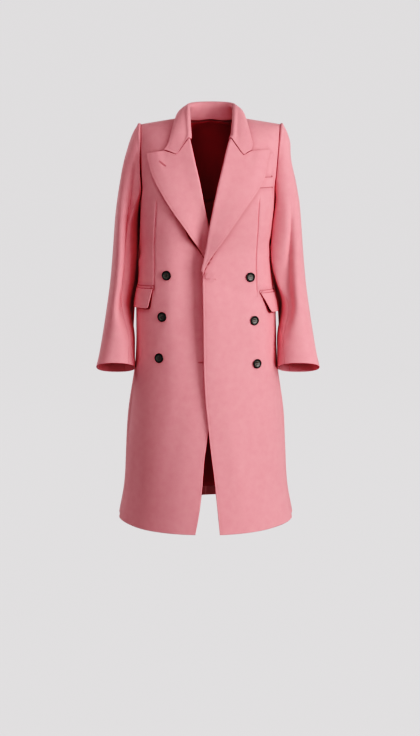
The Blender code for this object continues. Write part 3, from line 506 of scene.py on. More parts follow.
def add(tree, kind, **settings):
    """A node: settings named with an underscore first are its own, the others are its inputs."""
    node = tree.nodes.new(kind)
    for key, value in settings.items():
        if key.startswith("_"):
            setattr(node, key[1:], value)
        else:
            put(tree, value, node.inputs[int(key[2:]) if key.startswith("in") else key])
    return node


def put(tree, value, socket):
    """Joins another node's output to a socket, or sets the socket to a plain value."""
    if isinstance(value, bpy.types.NodeSocket):
        tree.links.new(value, socket)
    else:
        socket.default_value = value


def maths(tree, operation, *values):
    """One sum of two values."""
    node = tree.nodes.new("ShaderNodeMath")
    node.operation = operation
    for value, socket in zip(values, node.inputs):
        put(tree, value, socket)
    return node.outputs[0]


def times(tree, value, share):
    """One value times another."""
    return maths(tree, "MULTIPLY", value, share)


def total(tree, *values):
    """All the values added up, one after the other."""
    result = values[0]
    for value in values[1:]:
        result = maths(tree, "ADD", result, value)
    return result


def swing(tree, pattern, share):
    """A pattern from 0 to 1 made to swing round 0, by this much in all."""
    return times(tree, maths(tree, "SUBTRACT", pattern, 0.5), share)


print("nodes are joined by:", add.__name__, maths.__name__, total.__name__)

# %% Patterns and colours from nodes
def fade(tree, value, start, end, strongest=1.0, interpolation="LINEAR"):
    """The strongest at start, 0 at end and even between."""
    node = add(tree, "ShaderNodeMapRange", _interpolation_type=interpolation,
               in0=value, in1=start, in2=end, in3=strongest, in4=0.0)
    return node.outputs[0]


def on_mesh(tree, label):
    """A number that the mesh keeps on its points."""
    return add(tree, "ShaderNodeAttribute", _attribute_name=label).outputs["Fac"]


def blend_colours(tree, share, first, second):
    """The first colour at 0, the second at 1."""
    node = tree.nodes.new("ShaderNodeMix")
    node.data_type = "RGBA"
    for value, socket in ((share, 0), (first, 6), (second, 7)):
        put(tree, value, node.inputs[socket])
    return node.outputs[2]


def scaled(tree, place, scale, turn=0.0):
    """A pattern's place, stretched and turned."""
    node = add(tree, "ShaderNodeMapping", Vector=place, Rotation=(0, 0, turn), Scale=scale)
    return node.outputs[0]


def noise(tree, place, scale, detail=2.0, rough=0.55):
    """A soft uneven pattern."""
    node = add(tree, "ShaderNodeTexNoise", Vector=place, Scale=scale, Detail=detail, Roughness=rough)
    return node.outputs[0]


def roughen(tree, shader, height, strength, distance=0.001):
    """Lets a height pattern tilt the surface."""
    bump = add(tree, "ShaderNodeBump", Strength=strength, Distance=distance, Height=height)
    tree.links.new(bump.outputs[0], shader.inputs["Normal"])


def finish(shader, **settings):
    """Numbers and colours on the shader's own sockets."""
    for label, value in settings.items():
        shader.inputs[label.replace("_", " ")].default_value = value


print("patterns come from:", noise.__name__, fade.__name__, blend_colours.__name__)

# %% The wool's material
ROSE = (0.80, 0.335, 0.365, 1)
ROSE_DEEP = (0.70, 0.245, 0.275, 1)
ROSE_PALE = (0.87, 0.42, 0.44, 1)
TWILL_PITCH = 0.0011
TWILL_LEAN = math.radians(27)
WAVES_IN_A_UNIT = 20
STITCH_IN = 0.006
EDGE_BLUR = 0.0022
SHADE_REACH = 0.012


def wool_cloth(name, base, deep, pale):
    """Milled wool in three tones of one colour, with painted shade at its seams and painted shadow under
    other pieces.
    """
    material, tree, shader = new_material(name)
    # The dark colour of the painted shadow beside and under the pieces that lie on this one.
    shade = tuple(c * c * 0.50 for c in deep[:3]) + (1,)
    uv = add(tree, "ShaderNodeUVMap", _uv_map="cloth").outputs[0]
    place = tree.nodes.new("ShaderNodeTexCoord").outputs["Object"]
    ribs = add(tree, "ShaderNodeTexWave", Vector=scaled(tree, uv, (1, 1, 1), TWILL_LEAN),
               Scale=2 * math.pi / TWILL_PITCH / WAVES_IN_A_UNIT, Distortion=2.5, Detail=2.0)
    ribs.inputs["Detail Scale"].default_value = 2.0
    nap = noise(tree, scaled(tree, uv, (1, 0.45, 1)), 1500, 3.0, 0.7)
    mottle = noise(tree, place, 55, 4.0, 0.6)
    broad = noise(tree, place, 7, 2.0, 0.5)
    tone = total(tree, swing(tree, mottle, 0.85), swing(tree, nap, 0.9), swing(tree, broad, 0.35))
    light = blend_colours(tree, maths(tree, "MAXIMUM", tone, 0.0), base, pale)
    colour = blend_colours(tree, maths(tree, "MAXIMUM", times(tree, tone, -1.0), 0.0), light, deep)
    rim, free, covered = (on_mesh(tree, label) for label in ("rim", "free_edge", "covered"))
    # Painted shade: within 2.2 mm of every rim, seam and dart line the colour runs towards the deep rose.
    colour = blend_colours(tree, fade(tree, rim, 0.0, EDGE_BLUR, 0.42), colour, deep)
    # Painted shadow: strong under each piece that lies on this one and fading out 2.2 mm past its edge, then
    # a faint broad shade out to 12 mm.
    colour = blend_colours(tree, fade(tree, covered, -0.0006, EDGE_BLUR, 0.85), colour, shade)
    colour = blend_colours(tree, fade(tree, covered, 0.0, SHADE_REACH, 0.16), colour, shade)
    tree.links.new(colour, shader.inputs["Base Color"])
    from_row = maths(tree, "ABSOLUTE", maths(tree, "SUBTRACT", free, STITCH_IN))
    sunk = fade(tree, from_row, 0.0, EDGE_BLUR, -0.35, "SMOOTHSTEP")
    pucker = noise(tree, scaled(tree, uv, (1, 1, 1)), 90, 2.0, 0.5)
    near_seam = fade(tree, rim, 0.002, 0.016)
    puckered = times(tree, times(tree, pucker, near_seam), 0.9)
    height = total(tree, times(tree, ribs.outputs["Fac"], 0.10), times(tree, nap, 0.16),
                   times(tree, mottle, 0.22), sunk, puckered)
    roughen(tree, shader, height, 0.55)
    tree.links.new(total(tree, times(tree, nap, 0.12), 0.82), shader.inputs["Roughness"])
    finish(shader, Specular_IOR_Level=0.22, Sheen_Weight=0.30, Sheen_Roughness=0.42,
           Sheen_Tint=(1.0, 0.72, 0.74, 1))
    return material


rose_wool = wool_cloth("rose wool", ROSE, ROSE_DEEP, ROSE_PALE)
print("twill ribs", TWILL_PITCH * 1000, "mm apart")

# %% [markdown]
# ## The lining
# Inside, a dark satin lets the coat slide over what is worn under it. Satin is smooth and a little
# shiny, with very fine threads along the piece and broad soft ripples where it hangs loose.

# %% The lining's material
LINING_DARK = (0.42, 0.075, 0.095, 1)


def satin(name, dark):
    """Satin whose threads run from its dark colour to a lighter one."""
    material, tree, shader = new_material(name)
    uv = add(tree, "ShaderNodeUVMap", _uv_map="cloth").outputs[0]
    threads = noise(tree, scaled(tree, uv, (6, 0.5, 1)), 900, 2.0, 0.6)
    ripple = noise(tree, scaled(tree, uv, (2.2, 0.5, 1)), 14, 2.0, 0.5)
    lighter = tuple(min(1.0, c * 2.1) for c in dark[:3]) + (1,)
    tree.links.new(blend_colours(tree, threads, dark, lighter), shader.inputs["Base Color"])
    roughen(tree, shader, total(tree, times(tree, threads, 0.05), times(tree, ripple, 2.5)), 0.5)
    tree.links.new(total(tree, times(tree, threads, 0.2), 0.34), shader.inputs["Roughness"])
    finish(shader, Specular_IOR_Level=0.4)
    return material


dark_satin = satin("dark satin lining", LINING_DARK)
print("lining colour", LINING_DARK[:3])

# %% [markdown]
# ## The edges of the fronts
# The wearer's left front laps over the right one. Its edge runs down from the break of the lapel
# and swings away below the knee, so the coat opens in a narrow slit. Above the break the edge of
# each front is the line on which the lapel rolls over.

# %% Edges of the two fronts
OVER_EDGE = table(
    "z       x",
    (-1.034, 0.023),
    (-0.903, 0.010),
    (-0.804, -0.002),
    (-0.742, -0.008),
    (-0.693, -0.013),
    (-0.602, -0.017),
    (-0.492, -0.018),
    (-0.372, -0.020),
    (-0.345, -0.0142),
    (-0.310, -0.0078),
    (-0.281, -0.0035),
    (-0.238, 0.0045),
    (-0.180, 0.0165),
    (-0.116, 0.0320),
    (-0.050, 0.0500),
    (-0.024, 0.0645),
    (-0.008, 0.0760),
    (0.000, 0.083),
)
UNDER_EDGE = table(
    "z       x",
    (-1.034, -0.038),
    (-0.985, -0.029),
    (-0.931, -0.022),
    (-0.845, -0.015),
    (-0.780, -0.006),
    (-0.700, 0.000),
    (-0.600, 0.004),
    (-0.490, 0.007),
    (-0.372, 0.010),
    (-0.310, 0.003),
    (-0.254, -0.0085),
    (-0.212, -0.0175),
    (-0.148, -0.0300),
    (-0.099, -0.0420),
    (-0.050, -0.0540),
    (-0.024, -0.0670),
    (-0.008, -0.0770),
    (0.000, -0.083),
)
print("slit at the hem:", round((OVER_EDGE["x"][0] - UNDER_EDGE["x"][0]) * 1000), "mm")

# %% How far the lap stands off, and how deep the front under it lies
TUCK = table(
    "z       depth",
    (-1.034, 0.0030),
    (-0.900, 0.0040),
    (-0.700, 0.0085),
    (-0.580, 0.0145),
    (-0.460, 0.0205),
    (-0.360, 0.0205),
    (-0.260, 0.0125),
    (-0.160, 0.0030),
    (-0.110, 0.0000),
)
TUCK_FROM_X = -0.110
TUCK_FULL_X = -0.016
LAP_STAND = table(
    "z       stand",
    (-0.800, 0.0000),
    (-0.700, 0.0020),
    (-0.580, 0.0060),
    (-0.460, 0.0090),
    (-0.360, 0.0080),
    (-0.260, 0.0050),
    (-0.160, 0.0010),
    (-0.110, 0.0000),
)
LAP_BREADTH = 0.090
print("tucked in by up to", TUCK["depth"].max() * 1000, "mm")

# %% Places on the fronts
FIRST_GUESS_X = 0.05
TRIES = 6
DART_LINE = table("z turn", (HEM_Z, 45.0), (-0.42, 43.5), (-0.32, 44.3), (CHEST_Z, CHEST_TURN))
DART_LEANS_IN = 2.9


def edge_x(edge, level):
    """x of a front's inner edge at this level, closed in on from a first guess."""
    x = np.full(np.shape(level), FIRST_GUESS_X)
    for _ in range(TRIES):
        _, climb, _, _, _ = section(level)
        z = CHEST_Z + np.minimum(level, 0.0) + (shoulder_height(x) - CHEST_Z) * np.sin(climb)
        x = read(edge, "x", z)
    return x


def lap(side, x, z):
    """How far the lap pushes this front out, or the lapped-under one in, here."""
    if side == "left":
        return read(LAP_STAND, "stand", z) * ease(LAP_BREADTH, 0.0, x - read(OVER_EDGE, "x", z))
    return -read(TUCK, "depth", z) * ease(TUCK_FROM_X, TUCK_FULL_X, x)


def armhole_level(angle):
    """The armhole's level: angle runs from -90 under the arm to 90 at the shoulder's tip."""
    return np.arcsin((1 + np.sin(np.radians(angle))) / 2) / (math.pi / 2)


def armhole_turn(angle, upper):
    """The armhole's turn: it leaves the side seam level and rounds into its upright front or back."""
    dip = np.where(angle < 0, np.abs(np.sin(np.radians(angle))), 0.0)
    return mix(SIDE_SEAM, upper, (1 - dip**3) ** (1 / 3))


def dart_turn(level):
    """The bust dart's turn, and the same line carried on up to the shoulder and down to the hem."""
    z = CHEST_Z + np.minimum(level, 0.0)
    low = np.interp(z, DART_LINE["z"], DART_LINE["turn"])
    return low - DART_LEANS_IN * np.clip(level, 0.0, 1.0)


print("break of the over lapel at x", float(edge_x(OVER_EDGE, BREAK_Z - CHEST_Z).round(3)))

# %% [markdown]
# ## Fronts and backs
# A front runs from its edge round to a seam under the arm, and up to the shoulder and round the
# front of the armhole. A narrow side panel joins it to the back below the armhole's foot.
# A dart from the armhole's front down to the pocket takes in the waist: it is a fine sunk line
# with the cloth rising a little on both sides. The fronts' inside shows a strip of wool facing by
# the edge and a turned-up hem, and dark lining past them.

# %% Rows and columns of the panels
UNDER_ARM_ANGLES = (-90.0, -87.0, -83.0, -78.0, -71.0, -63.0)
TIP_ANGLES = (88.5, 89.0, 89.4, 89.7, 89.9, 90.0)
ARMHOLE_ANGLES = np.concatenate([UNDER_ARM_ANGLES, np.linspace(-54, 85, 36), TIP_ANGLES])
HEM_TURNED_UP = 0.030
FACING_WIDTH = 0.085
ROW_STEP = 0.0062


def panel_rows(step=ROW_STEP):
    """Levels of a panel's rows, and the armhole's angle at each."""
    tall = CHEST_Z - HEM_Z
    low = NEAR.tolist() + np.linspace(NEAR[-1], tall, int(tall / step))[1:-1].tolist()
    levels = np.concatenate([np.array(low) - tall, armhole_level(ARMHOLE_ANGLES)])
    return levels, np.concatenate([np.full(len(low), -90.0), ARMHOLE_ANGLES])


def columns_between(first, last, levels, step=STEP):
    """Turns of a panel's columns from one of its lines to another."""
    coarse = np.linspace(0, 1, 50)
    turns = mix(first[:, None], last[:, None], coarse)
    run = run_along(body(turns, levels[:, None]), 1)
    wanted = close_at_ends(run[:, -1], step)
    shares = np.array([np.interp(w, r, coarse) for w, r in zip(wanted, run)])
    return mix(first[:, None], last[:, None], shares)


print("rows of a panel:", len(panel_rows()[0]))

# %% The two fronts
SIDE_RADIUS = 0.17
DART_RADIUS = 0.155
HALF_SEAM = math.degrees(SEAM / 2 / SIDE_RADIUS)
DART_DEPTH = 0.0024
DART_HALF_WIDTH = 0.0012
DART_RISE = 0.0006
DART_BESIDE = 0.0045
DART_BLUR = 0.003
DART_TOP = 0.06
DART_FOOT = -0.225
DART_BEGINS_Z = (-0.432, -0.424)
DART_ENDS_LEVEL = (0.10, 0.02)


def dart_lift(turns, levels, side):
    """The dart's sunk line, with the cloth standing up a little beside it."""
    z = CHEST_Z + np.minimum(levels, 0.0)
    apart = np.radians(turns - SIDES[side] * dart_turn(levels)) * DART_RADIUS
    strength = ease(*DART_BEGINS_Z, z) * ease(*DART_ENDS_LEVEL, levels)
    line = -DART_DEPTH * np.exp(-((apart / DART_HALF_WIDTH) ** 2))
    beside = DART_RISE * np.exp(-(((np.abs(apart) - DART_BESIDE) / DART_BLUR) ** 2))
    return strength * (line + beside)


def front(side):
    """One front, with its dart, from its edge to the side panel."""
    sign = SIDES[side]
    edge = OVER_EDGE if side == "left" else UNDER_EDGE
    levels, angle = panel_rows()
    inner = turn_at(edge_x(edge, levels), levels)
    outer = sign * (np.minimum(armhole_turn(angle, ARMHOLE_FRONT), PANEL_SEAM) - HALF_SEAM)
    dart = sign * dart_turn(levels)
    to_dart = columns_between(inner, dart, levels)
    past_dart = columns_between(dart, outer, levels)
    turns = np.concatenate([to_dart, past_dart[:, 1:]], axis=1)
    level = levels[:, None] * np.ones(turns.shape)
    lift = dart_lift(turns, level, side)
    points = body(turns, level)
    lift = lift + lap(side, points[..., 0], points[..., 2])
    shift = np.array([0, -SEAM / 2, 0]) * (levels == 1)[:, None, None]
    face = on_body(turns, level, lift) + shift
    across = run_along(face, 1)
    past_facing = (across > FACING_WIDTH) & (face[..., 2] > HEM_Z + HEM_TURNED_UP)
    dart_line = face[(levels < DART_TOP) & (levels > DART_FOOT), to_dart.shape[1] - 1]
    wall(f"front_{side}_cloth", face, out_at(turns, level), WOOL, (rose_wool, dark_satin),
         inside=past_facing[:-1, :-1], free=("low", "first"), outward=side == "left", sewn=dart_line)


for side in SIDES:
    front(side)

# %% The panels under the arms
BELOW_ARMHOLE = 0.008
PANEL_RADIUS = 0.18
TOP_ROWS = 0.02


def side_panel(side):
    """Between the front's seam and the side seam, up to the foot of the armhole."""
    sign = SIDES[side]
    low = panel_rows()[0]
    low = low[low < -BELOW_ARMHOLE]
    angle = np.linspace(-90.0, 0.0, 400)
    ends = np.array([PANEL_SEAM + HALF_SEAM, SIDE_SEAM - HALF_SEAM])
    whole = np.radians(ends[1] - ends[0]) * PANEL_RADIUS
    turns = ends[0] + close_at_ends(np.array([whole]))[0] / whole * (ends[1] - ends[0])
    top = np.interp(turns, armhole_turn(angle, ARMHOLE_FRONT)[::-1], armhole_level(angle)[::-1])
    to_top = 1 - close_at_ends(np.array([TOP_ROWS]), 0.004)[0][len(NEAR) :] / TOP_ROWS
    levels = np.concatenate([np.outer(low, np.ones(len(turns))), mix(low[-1], top, 1 - to_top[::-1, None])])
    turns = sign * turns * np.ones(levels.shape)
    face = on_body(turns, levels)
    inside = face[:-1, :-1, 2] > HEM_Z + HEM_TURNED_UP
    wall(f"side_panel_{side}_cloth", face, out_at(turns, levels), WOOL, (rose_wool, dark_satin),
         inside=inside, free=("low",), outward=side == "left")


for side in SIDES:
    side_panel(side)

# %% The two backs and the lining behind them
COLLAR = table(
    "along  seam_x  seam_level  fold_x  fold_y   fold_z   edge_x  edge_level",
    (0.00, 0.000, 0.750, 0.0000, 0.0560, 0.0385, 0.0000, 0.610),
    (0.15, 0.031, 0.765, 0.0270, 0.0520, 0.0380, 0.0350, 0.650),
    (0.28, 0.057, 0.820, 0.0465, 0.0390, 0.0365, 0.0620, 0.755),
    (0.38, 0.075, 0.910, 0.0560, 0.0220, 0.0345, 0.0765, 0.885),
    (0.46, 0.083, 1.000, 0.0590, 0.0050, 0.0320, 0.0835, 1.000),
)
CENTRE_RADIUS = 0.15
LINING_ABOVE_HEM = 0.022
LINING_STEP = 0.012
LINING_GAP = 0.0004


def back_turns(side, step=STEP, row_step=ROW_STEP):
    """Turns and levels of one back, from the side seam to the centre seam and the neck."""
    sign = SIDES[side]
    levels, angle = panel_rows(row_step)
    seam = math.degrees(SEAM / 2 / CENTRE_RADIUS)
    side_edge = armhole_turn(angle, ARMHOLE_BACK) + seam
    centre = np.full(len(levels), 180.0 - seam)
    top = levels > COLLAR["seam_level"][0]
    neck_x = read(COLLAR, "seam_x", levels[top], key="seam_level")
    centre[top] = 180.0 - turn_at(neck_x, levels[top])
    return sign * columns_between(side_edge, centre, levels, step), levels[:, None]


def back(side):
    """One back, all wool, up to the shoulder seam."""
    turns, levels = back_turns(side)
    level = levels * np.ones(turns.shape)
    shift = np.array([0, SEAM / 2, 0]) * (levels == 1)[..., None]
    face = on_body(turns, level) + shift
    wall(f"back_{side}_cloth", face, out_at(turns, level), WOOL, (rose_wool,), free=("low",),
         outward=side == "left")


def lining():
    """The lining behind both backs, from the neck down to the turned-up hem."""
    left, levels = back_turns("left", LINING_STEP, LINING_STEP)
    right, _ = back_turns("right", LINING_STEP, LINING_STEP)
    rows = (levels[:, 0] < COLLAR["seam_level"][0]) & (levels[:, 0] > HEM_Z - CHEST_Z + LINING_ABOVE_HEM)
    turns = np.concatenate([left, right[:, ::-1]], axis=1)[rows]
    level = levels[rows] * np.ones(turns.shape)
    face = on_body(turns, level, -WOOL - LINING_GAP)
    wall("lining_cloth", face, out_at(turns, level), LINING, (dark_satin,))


for side in SIDES:
    back(side)
lining()

# %% [markdown]
# ## Lapels
# A peaked lapel is the front's own edge, turned out over a soft roll and pressed on to the chest.
# It isn't ironed flat at the fold: the cloth rises beside the edge, bends round, and lies down only
# towards its outer edge. Its top edge first follows the gorge seam, then the collar's end, and then
# rises to the peak. The under front's lapel dips where the other front laps over it.

# %% Lines of the lapels
OVER_LAPEL = table(
    "along  x       z",
    (0.00, -0.020, -0.387),
    (0.08, -0.014, -0.366),
    (0.22, 0.010, -0.325),
    (0.40, 0.044, -0.276),
    (0.58, 0.080, -0.223),
    (0.74, 0.112, -0.176),
    (0.85, 0.129, -0.143),
    (0.94, 0.137, -0.105),
    (1.00, 0.144, -0.077),
)
UNDER_LAPEL = table(
    "along  x       z",
    (0.00, 0.010, -0.387),
    (0.08, 0.001, -0.368),
    (0.22, -0.020, -0.333),
    (0.40, -0.058, -0.272),
    (0.58, -0.096, -0.216),
    (0.74, -0.126, -0.165),
    (0.85, -0.140, -0.134),
    (0.94, -0.148, -0.108),
    (1.00, -0.152, -0.087),
)
OVER_GORGE = table(
    "across  x      z",
    (0.00, 0.050, -0.050),
    (0.12, 0.060, -0.063),
    (0.24, 0.071, -0.077),
    (0.36, 0.081, -0.088),
    (0.46, 0.090, -0.083),
    (0.56, 0.100, -0.078),
    (0.78, 0.121, -0.0775),
    (1.00, 0.144, -0.077),
)
UNDER_GORGE = table(
    "across  x       z",
    (0.00, -0.054, -0.050),
    (0.12, -0.064, -0.063),
    (0.24, -0.074, -0.076),
    (0.36, -0.084, -0.087),
    (0.46, -0.098, -0.082),
    (0.56, -0.113, -0.078),
    (0.78, -0.132, -0.0825),
    (1.00, -0.152, -0.087),
)
print("peaks of the lapels:", OVER_LAPEL["x"][-1], UNDER_LAPEL["x"][-1])

# %% Shapes of a roll
COLLAR_POINT = 0.56
LAPEL_STAND = {"left": 0.0045, "right": 0.0065}
LAPEL_ACROSS = (0.0, 0.12, 0.24, 0.36, 0.46, 0.56, 0.78, 1.0)


def lapel_stand(side, along, across):
    """How far the lapel's outer edge stands off, but not where the collar's end joins it."""
    joined = ease(0.8, 1.0, along) * ease(COLLAR_POINT + 0.2, COLLAR_POINT, across)
    return LAPEL_STAND[side] * ease(0.2, 1.0, across) * ease(0.05, 0.35, along) * (1 - joined)


def roll_frame(points, inward):
    """For a line of points on a fold: its direction in towards the neck, and out over the fold."""
    along = unit(np.gradient(points, axis=0))
    inward = unit(inward - along * (inward * along).sum(-1, keepdims=True))
    over = np.cross(along, inward)
    return inward, over * np.sign(over[:, 2:3] - over[:, 1:2])


def curve_through(knots, values, at):
    """A smooth line through rows of values at these knots, read at other places."""
    step = np.diff(knots)
    wide = step.reshape(-1, *([1] * (values.ndim - 1)))
    slope = np.diff(values, axis=0) / wide
    bend = np.concatenate(
        [slope[:1], (slope[:-1] * wide[1:] + slope[1:] * wide[:-1]) / (wide[1:] + wide[:-1]), slope[-1:]]
    )
    i = np.clip(np.searchsorted(knots, at) - 1, 0, len(step) - 1)
    s = ((at - knots[i]) / step[i]).reshape(-1, *([1] * (values.ndim - 1)))
    h = wide[i]
    start = values[i] * (1 + 2 * s) * (1 - s) ** 2 + h * bend[i] * s * (1 - s) ** 2
    return start + values[i + 1] * s * s * (3 - 2 * s) + h * bend[i + 1] * s * s * (s - 1)


def grid_out(grid, outward=True):
    """Outward directions of a grid from its own shape."""
    out = unit(np.cross(np.gradient(grid, axis=1), np.gradient(grid, axis=0)))
    return out if outward else -out


BEND_IN = 0.0008
BEND_UP = 0.55


def roll_over(roll, first, inward):
    """The two points with which cloth rises beside a fold and turns over it to its first point."""
    inward, over = roll_frame(roll, inward)
    height = ((first - roll) * over).sum(-1, keepdims=True)
    start = roll + inward * ROLL_IN - over * ROLL_SINK
    return start, roll + inward * (ROLL_IN + BEND_IN) + over * height * BEND_UP


print("a lapel stands off by up to", max(LAPEL_STAND.values()) * 1000, "mm")

# %% The two lapels
LAPEL_STEP = 0.0045
SHORTEST = 0.004
ROLL_POINTS = 9
ROLL_KNOTS = np.array([0.0, 1.0, 1.9, 2.4])
LAPEL_LENGTH = 0.40
NARROW = 0.03
NARROW_LIFT = WOOL + 0.0022
ROLL_RISES = (0.15, 0.75)
ROLL_SETTLES = (0.0, 0.30)
LAPPED_BELOW_Z = (-0.19, -0.235)
LAPPED_PAST_X = (-0.06, -0.02)
SINKS_FROM_X = -0.055


def lapel_face(side, along, across):
    """The lapel's outer face past its roll: along goes up the roll line, across out from it."""
    over = (OVER_EDGE, OVER_LAPEL, OVER_GORGE)
    edge, outline, gorge = over if side == "left" else (UNDER_EDGE, UNDER_LAPEL, UNDER_GORGE)
    roll_z = mix(BREAK_Z, GORGE_Z, along)
    roll_x = read(edge, "x", roll_z)
    end_x = read(outline, "x", along)
    end_z = read(outline, "z", along)
    x = mix(roll_x, end_x, across)
    z = mix(roll_z, end_z, across)
    near_top = along**5
    top_x = mix(read(edge, "x", GORGE_Z), outline["x"][-1], across)
    top_z = mix(GORGE_Z, outline["z"][-1], across)
    x = x + near_top * (np.interp(across, gorge["across"], gorge["x"]) - top_x)
    z = z + near_top * (np.interp(across, gorge["across"], gorge["z"]) - top_z)
    z = z - SEAM * along
    width = np.clip(np.abs(end_x - roll_x) / NARROW, 0.0, 1.0)
    roll_lift = mix(LOW_ROLL_LIFT, ROLL_LIFT, ease(*ROLL_RISES, along))
    lift = mix(roll_lift, LAPEL_LIFT, ease(*ROLL_SETTLES, across))
    lift = mix(NARROW_LIFT, lift, width) + lapel_stand(side, along, across)
    sinks = 1.0
    if side == "right":
        lift = mix(lift, LAPPED_LIFT, ease(*LAPPED_BELOW_Z, z) * ease(*LAPPED_PAST_X, x))
        sinks = mix(LAPEL_SINKS, 1.0, ease(SINKS_FROM_X, TUCK_FULL_X, x))
    base = lap(side, roll_x, roll_z)[:, 0]
    return on_front(x, z, lift + lap(side, x, z) * sinks), on_front(roll_x[:, 0], roll_z[:, 0], base)


def lapel(side):
    """One lapel, from beside the front's edge over the roll to its outer edge."""
    sign = SIDES[side]
    along = close_at_ends(np.array([LAPEL_LENGTH]))[0][:, None] / LAPEL_LENGTH
    coarse = np.linspace(0, 1, 80)[None, :]
    run = run_along(lapel_face(side, along, coarse)[0], 1)
    wanted = close_at_ends(np.maximum(run[:, -1], SHORTEST), LAPEL_STEP)[:, len(NEAR) - 1 :]
    wanted = np.concatenate([0 * wanted[:, :1], wanted], axis=1)
    across = np.array([np.interp(w, r, coarse[0]) for w, r in zip(wanted, run)])
    face, roll = lapel_face(side, along, across)
    start, bend = roll_over(roll, face[:, 0], np.array([[-sign, 0.0, 0.0]]))
    lead = np.stack([start, bend, face[:, 0], face[:, 1]], axis=0)
    rise = curve_through(ROLL_KNOTS, lead, np.linspace(0, ROLL_KNOTS[2], ROLL_POINTS)[:-1])
    grid = np.concatenate([rise.transpose(1, 0, 2), face], axis=1)
    out = grid_out(grid, side == "left")
    wall(f"lapel_{side}_cloth", grid, out, FACING, (rose_wool,), free=("low", "last", "high"),
         outward=side == "left")


for side in SIDES:
    lapel(side)

# %% [markdown]
# ## The collar
# The collar is one piece that stands up round the neck, folds over and falls on to the shoulders.
# Its stand is low in front and higher behind. The rows here are the same as the pattern's: each
# runs from the neck seam up inside, over the fold, and down to the outer edge, and a smooth curve
# carries them from the centre back to the gorge.

# %% Sizes of the collar
COLLAR_FRONT = table(
    "along  fold_x  fold_y   fold_z   edge_x  edge_z",
    (0.46, 0.0590, 0.0050, 0.0320, 0.0835, -0.0001),
    (0.58, 0.0590, -0.0200, 0.0235, 0.0880, -0.0090),
    (0.70, 0.0585, -0.0440, 0.0080, 0.0935, -0.0250),
    (0.82, 0.0570, -0.0670, -0.0130, 0.0985, -0.0440),
    (0.92, 0.0555, -0.0830, -0.0340, 0.1030, -0.0610),
)
FOLD_CENTRE = 0.002
COLLAR_BULGE = 0.0025
SHOULDER_AT = 0.46
LAST_ROW = 0.92
NECK_SINK = 0.0008
RIM_LIFT = LAPEL_LIFT - 0.001
STAND_BULGE = 0.001
FOLD_INSIDE = (0.0042, 0.0045)
FOLD_OUTSIDE = (0.0048, 0.0030)
LEAF_FROM = 0.214
print("rows of the collar ahead of the shoulder:", len(COLLAR_FRONT["along"]))


# %% Seam, fold and edge of half the collar
def collar_half(sign):
    """The rows of one half of the collar, from the centre back to the gorge, each from the neck seam
    over the fold to the outer edge."""
    gorge = OVER_GORGE if sign > 0 else UNDER_GORGE
    edge = OVER_EDGE if sign > 0 else UNDER_EDGE
    behind = np.linspace(0.0, SHOULDER_AT, 7)
    ahead = np.linspace(SHOULDER_AT, LAST_ROW, 6)[1:]
    seam, fold, rim = [], [], []
    for a in behind:
        level = read(COLLAR, "seam_level", a)
        x = read(COLLAR, "seam_x", a)
        rim_level = read(COLLAR, "edge_level", a)
        rim_x = read(COLLAR, "edge_x", a)
        seam.append(on_body(180.0 - turn_at(x, level), level, -NECK_SINK))
        fold.append([read(COLLAR, name, a) for name in ("fold_x", "fold_y", "fold_z")])
        rim.append(on_body(180.0 - turn_at(rim_x, rim_level), rim_level, RIM_LIFT))
    for a in ahead:
        z = mix(0.0, GORGE_Z, (a - SHOULDER_AT) / (1 - SHOULDER_AT))
        x = abs(read(edge, "x", z))
        seam.append(on_front(x, z, -NECK_SINK))
        fold.append([read(COLLAR_FRONT, name, a) for name in ("fold_x", "fold_y", "fold_z")])
        rim_z = read(COLLAR_FRONT, "edge_z", a)
        rim.append(on_front(read(COLLAR_FRONT, "edge_x", a), rim_z, RIM_LIFT))
    return np.array(seam), np.array(fold), np.array(rim), gorge


print("half the collar has", len(collar_half(1)[0]), "rows before its end")


# %% The collar's rows
def collar_grid(sign):
    """The outer face of one half of the collar at the pattern's own rows."""
    seam, fold, rim, gorge = collar_half(sign)
    mirror = np.array([sign, 1.0, 1.0])
    seam = seam * mirror
    fold = fold * mirror + np.array([FOLD_CENTRE, 0, 0])
    rim = rim * mirror
    across = np.array(LAPEL_ACROSS[: LAPEL_ACROSS.index(COLLAR_POINT) + 1])
    end_x = np.interp(across, gorge["across"], gorge["x"])
    end_z = np.interp(across, gorge["across"], gorge["z"]) + GORGE_SEAM
    end_lift = mix(ROLL_LIFT, LAPEL_LIFT, ease(*ROLL_SETTLES, across))
    end = on_front(end_x, end_z, end_lift)
    folds = np.concatenate([fold, end[:1]])
    aside = folds[:, 0] - FOLD_CENTRE
    towards = np.stack([-aside, -np.clip(folds[:, 1], 0.0, 1.0), 0 * aside], -1)
    inward, over = roll_frame(folds, unit(towards))
    rows = []
    for k in range(len(fold)):
        start = seam[k] + inward[k] * STAND_IN
        neck_side = folds[k] + inward[k] * FOLD_INSIDE[0] - over[k] * FOLD_INSIDE[1]
        stand = mix(start, neck_side, 0.5) + inward[k] * STAND_BULGE
        outside = folds[k] - inward[k] * FOLD_OUTSIDE[0] - over[k] * FOLD_OUTSIDE[1]
        leaf = [folds[k], outside]
        for s in across[2:] / COLLAR_POINT:
            share = (s - LEAF_FROM) / (1 - LEAF_FROM)
            bulge = COLLAR_BULGE * 4 * share * (1 - share)
            leaf.append(mix(outside, rim[k], share) + over[k] * bulge - inward[k] * bulge)
        rows.append([start, stand, neck_side, *leaf])
    seam_end = on_front(end_x[:1], end_z[:1], 0.0)
    roll = np.concatenate([2 * seam_end - on_front(end_x[:1], end_z[:1] - 0.01), seam_end])
    start, bend = (pair[1] for pair in roll_over(roll, end[0], np.array([[-sign, 0.0, 0.0]])))
    rows.append([start, mix(start, bend, 0.5), bend, *end])
    return np.array(rows)

print("points across the collar:", collar_grid(1).shape[1])


